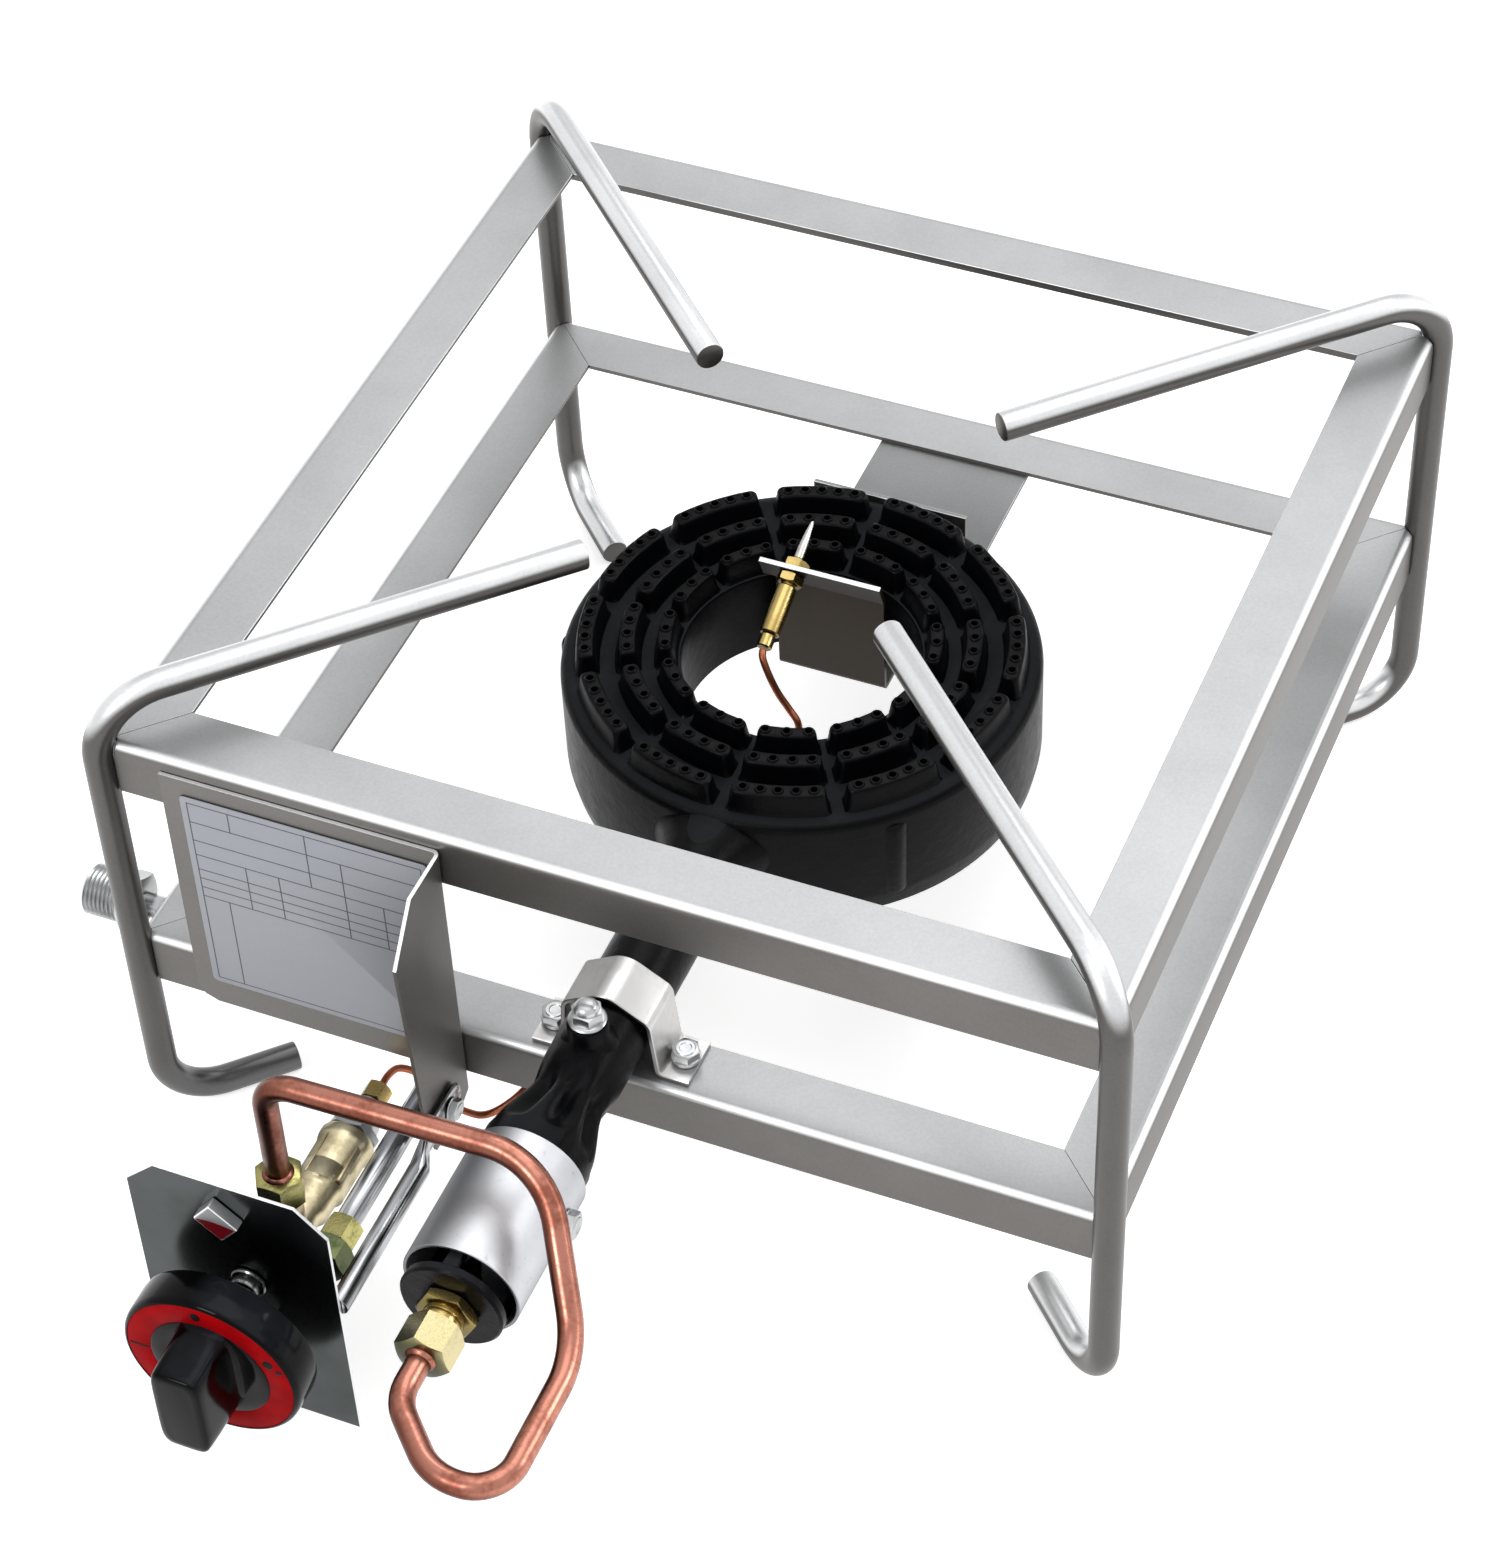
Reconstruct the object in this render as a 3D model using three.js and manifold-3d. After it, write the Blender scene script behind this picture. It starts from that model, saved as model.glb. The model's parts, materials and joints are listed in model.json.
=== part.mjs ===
// Gas stock pot range: two square rings of folded angle on four bent rod legs, a cast ring burner,
// and a gas tap with its knob and panel carried in front. Millimetres, +Z up, front towards -Y.

import * as THREE from 'three';
import { mergeVertices } from 'three/addons/utils/BufferGeometryUtils.js';
import Module from 'manifold-3d';

const wasm = await Module();
wasm.setup();

// ---------------------------------------------------------------- driving sizes

const gap = 0.3; // clearance wherever two pieces touch or seat

// Frame of folded angle and bent rod
const ringSide = 402;
const railWidth = 26.4;
const railDepth = 24.5;
const railSheet = 2;
const railBendRadius = 4;
const lowerRingTop = 106;
const ringPitch = 107;
const rodDiameter = 12;
const legOutset = 0.5; // leg axis beyond the side of the rings, in X and in Y
const armRise = 19.5; // pot-support axis above the upper ring
const armEndRadius = 87.5;
const footEndRadius = 230;
const topBendRadius = 28;
const footBendRadius = 25;

// Ring burner, one casting with its venturi
const burnerRadius = 97.5;
const burnerHoleTop = 48.5;
const holeTaper = 1.1; // the hole is wider by this at its foot
const burnerDepth = 40; // from the plate down to the floor round the hole
const skirtDepth = 12.5; // the outer wall reaches below that floor
const skirtWidth = 10;
const skirtSlope = 1.5;
const burnerWall = 6;
const holeWall = 4;
const rimBead = 0.5;
const rimBeadWidth = 2.6;
const bottomChamfer = 9;
const bottomChamferWidth = 1.8;
const rimRound = 4;
const lugHeight = 10.4;
const lugSectors = 12;
const lugTurn = 1.2; // degrees the pattern is turned from the venturi's line
const lugDraft = 1.6;
// Edges of each row as shares of the way from the hole to the outer wall, half angle, flame ports
const lugRows = [
  { inner: 0.069, outer: 0.182, halfAngle: 11.9, ports: 3 },
  { inner: 0.369, outer: 0.504, halfAngle: 12.4, ports: 4 },
  { inner: 0.714, outer: 0.851, halfAngle: 12.1, ports: 5 },
];
const portRadius = 1.5;
const portSpread = 0.76; // share of the half angle that the outermost ports reach
const wallBossRadius = 6;
const wallBossStand = 2;
const wallBossAngles = [192, -46];
const venturiRadius = 16;
const venturiWaist = 14.2;
const venturiBore = 10.5;
const venturiSeatPad = 2.5; // cast flat under the venturi where it sits on the rail
const waistDistance = 239; // forward of the burner centre
const flareLength = 27;
const bellLand = 19;
const bellRadius = 21.2;
const bellLip = 2.6;
const fluteCount = 8;
const fluteDepth = 2.4;
const platePost = 44.7; // from the bell to the air plate
const postWidth = 6;
const airPlateThickness = 4.6;
const airPlateRadius = 20.3;
const plugClearance = 6.3; // between the strap and the plug's boss
const plugBossRadius = 8;
const plugBossRise = 6;

// Strap that holds the venturi on the lower front rail
const strapSheet = 2;
const strapWidth = 22;
const strapPitch = 31; // slope of the two upper flats, degrees
const strapSpread = 2.6; // how far each wall leans out at its foot
const strapEar = 12.5;
const strapBend = 1.5;

// Hexagon fasteners: across flats, head height and shank radius
const boltFlats = 10;
const boltHead = 4.2;
const boltShank = 3;
const washerRadius = 5.5;
const washerThickness = 1.4;
const nutHeight = 4.5;

// Air sleeve
const sleeveWall = 1.5;
const sleeveLength = 58;
const sleeveFront = 4.4; // air gap to the back of the air plate
const sleeveBoltSet = 40; // set bolt behind the sleeve's front rim

// Injector and its nut
const holderFlats = 21;
const holderFlange = 4.8;
const holderNeck = 4.3;
const holderNeckRadius = 8;
const holderSpigot = 7.5;
const jetLength = 13;
const injectorNutFlats = 19.5;
const injectorNutLength = 14.6;

// Copper supply tube
const copperDiameter = 9.6;
const copperRise = 162; // height of the top run where it starts
const copperRiseEnd = 166.3; // and where it turns forward and down
const copperCorner = 20.8;
const loopWidth = 50.2;
const loopTopReach = -7; // reaches forward of the injector nut's back
const loopFrontReach = 57.2;
const loopSlant = 24; // the loop's left corner is cut off at 45 degrees by this much
const copperBend = 14;
const copperSweep = 35;
const loopBends = [15, 24, 20];

// Gas tap behind the panel
const tapX = -93.5;
const tapZ = 69.3;
const tapRear = -240;
const tapRearRadius = 11.3;
const tapRim = 5;
const tapBarrelRadius = 10.4;
const tapShoulderY = -265.5;
const tapNeckRadius = 8;
const tapWaistY = -277;
const tapBlockRadius = 12.5;
const tapBore = 6;
const bushingRadius = 8;
const spindleRadius = 4;
const tailRadius = 2.6;
const tailLength = 12;
const pressTravel = 3.5;
const outletY = -291;
const outletShift = 0.8; // right of the tap's axis
const outletTop = 95;
const fittingRadius = 8;
const outletNutFlats = 17;
const outletNutHeight = 14;
const magnetRadius = 8.4;
const magnetLength = 19;
const magnetFlats = 19.5;
const magnetCollar = 4.6;
const magnetShoulder = 9.2;
const magnetNeck = 5.5;
const leadNutFlats = 10;
const leadNutLength = 8;

// Gas inlet
const inletX = -238;
const inletY = -175;
const inletZ = 91.5;
const threadRadius = 10.5;
const threadLength = 16;
const threadPitch = 2;
const inletBore = 7;
const inletHexFlats = 22;
const inletHex = 8;
const pipeDiameter = 10;
const pipeDropX = -74;
const pipeDropZ = 74;
const inletNutFlats = 19;
const inletNutLength = 13.5;
const inletBossY = -299;

// Control panel, strut and knob
const panelWidth = 82;
const panelTop = 141;
const panelBottom = 14;
const panelFront = -326;
const panelSheet = 1.5;
const panelChamfer = 12.5;
const indexWidth = 23;
const indexShift = -3; // left of the knob's axis
const indexRise = 5;
const indexZ = 124.9;

// Flanged screw that holds the tap to the panel, above the bushing
const screwX = tapX + 4.3;
const screwZ = tapZ + 19.1;
const screwRadius = 2.5;
const screwFlange = 8.6;
const screwHead = 7.3;
const screwRise = 7;
const screwNutFlats = 9;
const screwNutHeight = 4;

const bushingNutFlats = 20;
const bushingNutHeight = 6;
const knobRadius = 36.3;
const knobDepth = 16.5;
const knobBack = -338.5;
const ringOuter = 34.2;
const ringInner = 24.6;
const ringThickness = 0.8;
const grooveDepth = 1.2;
const gripLength = 44;
const gripWidth = 21.5;
const gripFootWidth = 26;
const gripLift = 1.4; // its middle above the knob's axis
const gripDepth = 24;
const strutX = -54;
const strutZ = 87;
const strutDiameter = 8.5;
const strutFlat = 3;
const strutTab = 14;
const strutTabEnd = -215;
const strutTabStart = -243;
const strutRoundEnd = -255;
const strutBoltY = -224;

// Data plate with its wing, and the bare label on it
const shieldSheet = 1.5;
const shieldLeft = -175.5;
const shieldRight = -58.9;
const shieldTop = 206.5;
const shieldBottom = 81;
const shieldCorner = 8;
const wingReach = 41; // forward of the plate's front face
const wingTopReach = 24;
const wingBottom = 70;
const labelMargin = 8;
const labelHeight = 104;
const labelThickness = 0.5;

// Rear bracket and thermocouple
const bracketSheet = 2;
const bracketWidth = 68;
const bracketUpstand = 0.5; // above the burner plate
const stripWidth = 47;
const stripClearance = 6; // from the inside of the burner's skirt
const stripUprightY = 32;
const stripBendZ = 151.6;
const flangeTilt = 22; // degrees forward from the vertical
const flangeLength = 12;
const flangeHole = 5.5; // hole centre along the flange from its bend
const earReach = 5.5;
const probeX = -15.6;
const probeThread = 3;
const probeBody = 4.2;
const probeBodyLength = 22;
const needleRadius = 1.9;
const needleTip = 1.1;
const needleLength = 18;
const probeNutFlats = 10;
const probeNutHeight = 4;
const ferruleRadius = 3.2;
const ferruleLength = 6;
const leadDiameter = 3;
// Places the capillary lead passes in the burner's hole and under the lower front rail
const leadThrough = [
  [-14.8, -5.5, 142.3], [-11.5, -8, 136.3], [-7, -9, 127.4], [-1.7, -10, 120.6], [2.6, -12, 116.4],
  [3.5, -16, 106], [-1, -34, 91], [-14, -90, 86], [-33, -170, 79],
];
// And round its loop behind the tap: right of, behind and above the back of its nut
const leadLoop = [
  [53.5, 14.4, 3], [43.5, 5.4, -3], [33.5, 6.4, -6.8], [19.5, 10.4, -7.6], [7.5, 16.4, -5.6],
  [1.5, 13, -1.5], [0, 7, 0],
];

// ---------------------------------------------------------------- derived places

const half = ringSide / 2;
const legAxis = half + legOutset;
const rodRadius = rodDiameter / 2;
const upperRingTop = lowerRingTop + ringPitch;
const armAxis = upperRingTop + armRise;
const venturiZ = lowerRingTop + gap + venturiSeatPad + venturiRadius;
const bracketTop = lowerRingTop - railSheet - gap;
const burnerFloor = bracketTop + gap;
const burnerTop = burnerFloor + burnerDepth;
const skirtBottom = burnerFloor - skirtDepth;
const strapY = -half + railBendRadius + strapWidth / 2 + gap;
const plateWidth = burnerRadius - burnerHoleTop;
const stripRear = burnerRadius - skirtWidth - skirtSlope - stripClearance;
const bellDistance = waistDistance + flareLength;
const bellEnd = bellDistance + bellLand;
const plugDistance = strapWidth / 2 - strapY + plugBossRadius + plugClearance;
const plateBack = bellEnd + platePost;
const plateFront = plateBack + airPlateThickness;
const sleeveInner = bellRadius + gap;
const sleeveOuter = sleeveInner + sleeveWall;
const sleeveFrontY = -(plateBack - sleeveFront);
const injectorNutBack = plateFront + gap + holderFlange + holderNeck + gap;
const loopTop = injectorNutBack + loopTopReach;
const loopFront = injectorNutBack + loopFrontReach;
const outletX = tapX + outletShift;
const pipeRadius = pipeDiameter / 2;
const boltHole = boltShank / Math.cos(Math.PI / 12) + gap; // clears the corners of a twelve-sided shank
const pipeHole = pipeRadius / Math.cos(Math.PI / 12) + gap;
const copperRadius = copperDiameter / 2;
const copperHole = copperRadius / Math.cos(Math.PI / 12) + gap;
const knobFace = knobBack - knobDepth;
const shieldBack = -half - gap;
const shieldFront = shieldBack - shieldSheet;

// ---------------------------------------------------------------- geometry helpers

const rad = THREE.MathUtils.degToRad;

function toSolid(geometry) {
  const plain = geometry.clone();
  plain.deleteAttribute('normal');
  plain.deleteAttribute('uv');
  const merged = mergeVertices(plain, 1e-4);
  const vertProperties = new Float32Array(merged.attributes.position.array);
  const triVerts = new Uint32Array(merged.index.array);
  return new wasm.Manifold(new wasm.Mesh({ numProp: 3, vertProperties, triVerts }));
}

function toGeometry(solid) {
  const mesh = solid.getMesh();
  const geometry = new THREE.BufferGeometry();
  geometry.setAttribute('position', new THREE.BufferAttribute(mesh.vertProperties, 3));
  geometry.setIndex(new THREE.BufferAttribute(mesh.triVerts, 1));
  geometry.computeVertexNormals();
  return geometry;
}

const cut = (body, ...tools) => toGeometry(tools.reduce((s, t) => s.subtract(toSolid(t)), toSolid(body)));
const join = (body, ...more) => toGeometry(more.reduce((s, t) => s.add(toSolid(t)), toSolid(body)));
const common = (body, tool) => toGeometry(toSolid(body).intersect(toSolid(tool)));

// A regular outline whose flats lie at the given radius, one flat facing +Y of the outline
function flatsOutline(radius, sides) {
  const corner = radius / Math.cos(Math.PI / sides);
  const points = [];
  for (let i = 0; i < sides; i += 1) {
    const angle = ((i + 0.5) / sides) * 2 * Math.PI;
    points.push(new THREE.Vector2(corner * Math.sin(angle), corner * Math.cos(angle)));
  }
  return points;
}

function prism(points, depth) {
  return new THREE.ExtrudeGeometry(new THREE.Shape(points), { depth, bevelEnabled: false });
}

// Turns a piece built along +Z to lie along an axis, its start at the given place
function laidAlong(geometry, axis, x, y, z) {
  const turned = geometry.clone();
  const from = new THREE.Vector3(0, 0, 1);
  turned.applyQuaternion(new THREE.Quaternion().setFromUnitVectors(from, axis));
  return turned.translate(x, y, z);
}

const right = new THREE.Vector3(1, 0, 0);
const left = new THREE.Vector3(-1, 0, 0);
const back = new THREE.Vector3(0, 1, 0);
const front = new THREE.Vector3(0, -1, 0);
const up = new THREE.Vector3(0, 0, 1);

const round = (radius, length, sides = 24) => prism(flatsOutline(radius, sides), length);
const hexagon = (flats, length) => prism(flatsOutline(flats / 2, 6), length);

function box(x0, x1, y0, y1, z0, z1) {
  const geometry = new THREE.BoxGeometry(x1 - x0, y1 - y0, z1 - z0);
  return geometry.translate((x0 + x1) / 2, (y0 + y1) / 2, (z0 + z1) / 2);
}

// A turned piece along +Z from [radius, height] pairs that start and end on the axis or close up
function turned(profile, sides = 24) {
  const points = profile.map(([r, z]) => new THREE.Vector2(r, z));
  const geometry = new THREE.LatheGeometry(points, sides);
  return geometry.rotateX(Math.PI / 2);
}

// A closed skin over rings of equal point count, with a flat fan over each end
function skinned(rings) {
  const count = rings[0].length;
  const centre = (ring) => ring.reduce((s, p) => s.add(p), new THREE.Vector3()).divideScalar(count);
  const points = [...rings.flat(), centre(rings[0]), centre(rings.at(-1))];
  const index = [];
  for (let r = 0; r + 1 < rings.length; r += 1) {
    for (let i = 0; i < count; i += 1) {
      const a = r * count + i;
      const b = r * count + ((i + 1) % count);
      index.push(a, b, b + count, a, b + count, a + count);
    }
  }
  const last = (rings.length - 1) * count;
  for (let i = 0; i < count; i += 1) {
    const next = (i + 1) % count;
    index.push(points.length - 2, next, i);
    index.push(points.length - 1, last + i, last + next);
  }
  const geometry = new THREE.BufferGeometry().setFromPoints(points);
  geometry.setIndex(index);
  geometry.computeVertexNormals();
  return geometry;
}

// Stations along a polyline whose corners are rounded to the given radii
function roundedRoute(corners, radii, stepsPerBend = 6) {
  const stations = [corners[0].clone()];
  for (let i = 1; i + 1 < corners.length; i += 1) {
    const toward = corners[i - 1].clone().sub(corners[i]).normalize();
    const away = corners[i + 1].clone().sub(corners[i]).normalize();
    const inside = toward.angleTo(away);
    const radius = radii[i - 1];
    const reach = radius / Math.tan(inside / 2);
    const middle = toward.clone().add(away).normalize();
    const centre = corners[i].clone().addScaledVector(middle, radius / Math.sin(inside / 2));
    const start = corners[i].clone().addScaledVector(toward, reach).sub(centre);
    const end = corners[i].clone().addScaledVector(away, reach).sub(centre);
    const axis = start.clone().cross(end).normalize();
    const sweep = start.angleTo(end);
    for (let s = 0; s <= stepsPerBend; s += 1) {
      const spoke = start.clone().applyAxisAngle(axis, (sweep * s) / stepsPerBend);
      stations.push(spoke.add(centre));
    }
  }
  stations.push(corners.at(-1).clone());
  return stations;
}

// A curve that visits its stations in equal steps, so straight runs need no extra sections
class StationCurve extends THREE.Curve {
  constructor(stations) {
    super();
    this.stations = stations;
  }

  getPoint(t, target = new THREE.Vector3()) {
    const place = t * (this.stations.length - 1);
    const index = Math.min(Math.floor(place + 1e-6), this.stations.length - 2);
    return target.lerpVectors(this.stations[index], this.stations[index + 1], place - index);
  }

  getPointAt(u, target) {
    return this.getPoint(u, target);
  }

  getTangentAt(u, target = new THREE.Vector3()) {
    const here = Math.round(u * (this.stations.length - 1));
    const before = this.stations[Math.max(here - 1, 0)];
    const after = this.stations[Math.min(here + 1, this.stations.length - 1)];
    const arriving = this.stations[here].clone().sub(before).normalize();
    const leaving = after.clone().sub(this.stations[here]).normalize();
    return target.copy(arriving).add(leaving).normalize();
  }
}

function tube(stations, radius, sides) {
  const shape = new THREE.Shape(flatsOutline(radius, sides));
  const extrudePath = new StationCurve(stations);
  return new THREE.ExtrudeGeometry(shape, { steps: stations.length - 1, extrudePath });
}

// Outline of folded sheet in a plane: a centre line with rounded folds, thickened both ways
function foldedOutline(corners, bend, sheet) {
  const points = corners.map(([x, y]) => new THREE.Vector3(x, y, 0));
  const line = new StationCurve(roundedRoute(points, points.map(() => bend), 4));
  const count = line.stations.length;
  const sides = [1, -1].map((side) => line.stations.map((station, i) => {
    const along = line.getTangentAt(i / (count - 1));
    const spread = (side * sheet) / 2;
    return new THREE.Vector2(station.x - along.y * spread, station.y + along.x * spread);
  }));
  return [...sides[0], ...sides[1].reverse()];
}

function material(color, roughness, metalness) {
  return new THREE.MeshStandardMaterial({ color, roughness, metalness });
}

const satinSteel = material(0xa9aaac, 0.42, 0.9);
const castIron = material(0x17181a, 0.62, 0.25);
const aluminium = material(0xb4b8bd, 0.38, 0.95);
const brass = material(0xb0a15c, 0.32, 0.9);
const copper = material(0xb56a4c, 0.36, 0.95);
const zincPlate = material(0x8f9496, 0.34, 0.9);
const chromed = material(0xc2c4c6, 0.2, 1);
const blackPlastic = material(0x0c0c0d, 0.22, 0);
const redPrint = material(0xb5121b, 0.45, 0);
const labelSilver = material(0x9ea3ac, 0.5, 0.4);

const range = new THREE.Group();

function place(name, geometry, finish, parent = range) {
  const mesh = new THREE.Mesh(geometry, finish);
  mesh.name = name;
  parent.add(mesh);
  return mesh;
}

// ---------------------------------------------------------------- frame

function railProfile() {
  const middle = railSheet / 2;
  const line = [[railWidth, -middle], [middle, -middle], [middle, -railDepth]];
  return foldedOutline(line, railBendRadius - middle, railSheet);
}

// One leg: pot support, top bend, upright, foot bend and foot, in the frame's diagonal plane
function legRoute(sx, sy) {
  const at = (radius, z) => {
    const share = radius / Math.SQRT2;
    return new THREE.Vector3(sx * share, sy * share, z);
  };
  const upright = legAxis * Math.SQRT2;
  const corners = [
    at(armEndRadius, armAxis), at(upright, armAxis), at(upright, rodRadius), at(footEndRadius, rodRadius),
  ];
  return roundedRoute(corners, [topBendRadius, footBendRadius], 7);
}

// One rail of a ring as it lies at the front, with mitred ends and seats for the leg rods
function railGeometry(ringTop, holes) {
  const rail = prism(railProfile(), ringSide);
  const position = rail.attributes.position;
  for (let i = 0; i < position.count; i += 1) {
    const inward = position.getX(i);
    const height = position.getY(i);
    const end = position.getZ(i) > half ? 1 : -1;
    position.setXYZ(i, end * (half - inward - gap / 2), inward - half, ringTop + height);
  }
  rail.computeVertexNormals();
  const seats = [-1, 1].map((side) => tube(legRoute(side, -1), rodRadius + gap, 12));
  return cut(rail, ...seats, ...holes);
}

function addRings() {
  const low = lowerRingTop - 3 * railSheet;
  const strapHoles = [-1, 1].map((side) => (
    laidAlong(round(boltHole, 4 * railSheet, 16), up, side * earMiddle(), strapY, low)
  ));
  const pipeWay = laidAlong(round(pipeHole, 4 * railSheet, 16), back, -inletY, -half - railSheet, inletZ);
  const sides = ['front', 'right', 'rear', 'left'];
  sides.forEach((side, turn) => {
    const holes = { front: strapHoles, left: [pipeWay] }[side] ?? [];
    const upper = place(`upper_rail_${side}`, railGeometry(upperRingTop, []), satinSteel);
    const lower = place(`lower_rail_${side}`, railGeometry(lowerRingTop, holes), satinSteel);
    upper.rotation.z = (turn * Math.PI) / 2;
    lower.rotation.z = (turn * Math.PI) / 2;
  });
}

function addLegs() {
  const legs = { front_left: [-1, -1], front_right: [1, -1], rear_right: [1, 1], rear_left: [-1, 1] };
  Object.entries(legs).forEach(([corner, [sx, sy]]) => {
    place(`leg_${corner}`, tube(legRoute(sx, sy), rodRadius, 12), satinSteel);
  });
}

// ---------------------------------------------------------------- burner

// Outline of one lug: a piece of ring with its corners rounded, grown by the draft at its foot
function lugRing(row, centreAngle, grow, z) {
  const inner = burnerHoleTop + row.inner * plateWidth - grow;
  const outer = burnerHoleTop + row.outer * plateWidth + grow;
  const corner = (outer - inner) / 4;
  const halfAngle = rad(row.halfAngle) + grow / outer;
  const point = (radius, angle) => {
    const turn = rad(centreAngle) + angle;
    return new THREE.Vector3(radius * Math.cos(turn), radius * Math.sin(turn), z);
  };
  const side = (radius, end) => [
    point(radius, end * (halfAngle - corner / radius)),
    point(radius, (end * halfAngle) / 3),
  ];
  const shoulder = (radius, end, step) => point(radius + step * corner, end * halfAngle);
  return [
    ...side(outer, -1), ...side(outer, 1).reverse(),
    shoulder(outer, 1, -1), shoulder(inner, 1, 1),
    ...side(inner, 1), ...side(inner, -1).reverse(),
    shoulder(inner, -1, 1), shoulder(outer, -1, -1),
  ];
}

// What is made for every lug, row by row round the casting
function perLug(make) {
  const sectors = Array.from({ length: lugSectors }, (_, i) => ((i + 0.5) * 360) / lugSectors + lugTurn);
  return sectors.flatMap((centre) => lugRows.flatMap((row) => make(row, centre)));
}

function lugGeometry(row, centre) {
  const sink = 0.6;
  const foot = lugRing(row, centre, lugDraft, burnerTop - sink);
  const crest = lugRing(row, centre, 0, burnerTop + lugHeight);
  return skinned([foot, crest]);
}

// Flame ports drilled down through one lug into the gas chamber
function portTools(row, centre) {
  const radius = burnerHoleTop + ((row.inner + row.outer) / 2) * plateWidth;
  const low = burnerTop - burnerWall - 1;
  const length = burnerTop + lugHeight + 1 - low;
  return Array.from({ length: row.ports }, (_, i) => {
    const share = (2 * i) / (row.ports - 1) - 1;
    const angle = rad(centre + share * portSpread * row.halfAngle);
    const port = round(portRadius, length, 6);
    return laidAlong(port, up, radius * Math.cos(angle), radius * Math.sin(angle), low);
  });
}

function burnerRing() {
  const rimOuter = burnerRadius - rimRound;
  const rimInner = rimOuter - rimBeadWidth;
  return turned([
    [burnerHoleTop, burnerTop], [burnerHoleTop + holeTaper, burnerFloor],
    [burnerRadius - skirtWidth - skirtSlope, burnerFloor], [burnerRadius - skirtWidth, skirtBottom],
    [burnerRadius - bottomChamferWidth, skirtBottom], [burnerRadius, skirtBottom + bottomChamfer],
    [burnerRadius, burnerTop - rimRound], [rimOuter + rimRound / 2, burnerTop],
    [rimOuter, burnerTop + rimBead], [rimInner, burnerTop + rimBead],
    [rimInner - rimBead, burnerTop], [burnerHoleTop, burnerTop],
  ], 60);
}

function gasChamber() {
  const low = burnerFloor + burnerWall;
  const high = burnerTop - burnerWall;
  const inner = burnerHoleTop + holeTaper + holeWall;
  const outer = burnerRadius - burnerWall;
  return turned([[inner, low], [outer, low], [outer, high], [inner, high], [inner, low]], 36);
}

// Fluted flare from the waist of the venturi to its bell, as rings along the axis
function flutedFlare() {
  const points = 48;
  const steps = 6;
  const rings = [];
  for (let s = 0; s <= steps; s += 1) {
    const share = s / steps;
    const swell = share * share * (3 - 2 * share);
    const base = THREE.MathUtils.lerp(venturiWaist, bellRadius, swell);
    const depth = fluteDepth * Math.sin(Math.PI * share);
    const y = -THREE.MathUtils.lerp(waistDistance, bellDistance + gap, share);
    const ring = [];
    for (let i = 0; i < points; i += 1) {
      const angle = (i / points) * 2 * Math.PI;
      const radius = base - depth * (0.5 - 0.5 * Math.cos(fluteCount * angle));
      ring.push(new THREE.Vector3(radius * Math.cos(angle), y, venturiZ + radius * Math.sin(angle)));
    }
    rings.push(ring);
  }
  return skinned(rings);
}

function venturiTube() {
  const start = burnerRadius - 1.5 * burnerWall;
  const neck = strapY - strapWidth;
  return laidAlong(turned([
    [0, start], [venturiRadius, start], [venturiRadius, -neck + strapWidth / 2],
    [venturiWaist, waistDistance + 1], [0, waistDistance + 1],
  ], 32), front, 0, 0, venturiZ);
}

// Gas way from the bell to the chamber
function venturiMouth() {
  const start = burnerRadius - 2 * burnerWall;
  const throat = waistDistance + flareLength / 4 - start;
  const end = bellEnd + gap - start;
  return laidAlong(turned([
    [0, 0], [venturiBore, 0], [venturiBore, throat], [bellRadius - bellLip, end], [0, end],
  ], 32), front, 0, -start, venturiZ);
}

// Posts that carry the air plate in front of the bell, and the plate itself
function airPlateAndPosts() {
  const pieces = [];
  [90, 210, 330].forEach((angle) => {
    const outer = airPlateRadius - gap;
    const inner = bellRadius - bellLip - gap;
    const post = box(-postWidth / 2, postWidth / 2, -plateBack - 1, -bellEnd + 1, inner - 1.5, outer);
    post.rotateY(rad(90 - angle)).translate(0, 0, venturiZ);
    pieces.push(post);
  });
  pieces.push(laidAlong(turned([
    [holderSpigot + gap, 0], [airPlateRadius, 0], [airPlateRadius, airPlateThickness],
    [holderSpigot + gap, airPlateThickness], [holderSpigot + gap, 0],
  ], 32), front, 0, -plateBack, venturiZ));
  return pieces;
}

function wallBosses() {
  const low = skirtBottom + bottomChamfer;
  const height = burnerTop - rimRound - 2 - low;
  return wallBossAngles.map((angle) => {
    const radius = burnerRadius + wallBossStand - wallBossRadius;
    const x = radius * Math.cos(rad(angle));
    const y = radius * Math.sin(rad(angle));
    return laidAlong(round(wallBossRadius, height, 16), up, x, y, low);
  });
}

function addBurner() {
  const land = laidAlong(turned([
    [0, bellDistance], [bellRadius, bellDistance], [bellRadius, bellEnd], [0, bellEnd],
  ], 40), front, 0, 0, venturiZ);
  const padTop = venturiZ - venturiRadius / 2;
  const pad = box(-venturiRadius / 2, venturiRadius / 2, strapY - strapWidth / 2, strapY + strapWidth / 2,
    lowerRingTop + gap, padTop);
  const plugBoss = laidAlong(round(plugBossRadius, venturiRadius + plugBossRise, 16),
    up, 0, -plugDistance, venturiZ);
  const outer = join(burnerRing(), venturiTube(), flutedFlare(), land, pad, plugBoss,
    ...wallBosses(), ...perLug(lugGeometry));
  const hollow = cut(outer, gasChamber(), venturiMouth(), ...perLug(portTools));
  place('burner_casting', join(hollow, ...airPlateAndPosts()), castIron);
}

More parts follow.
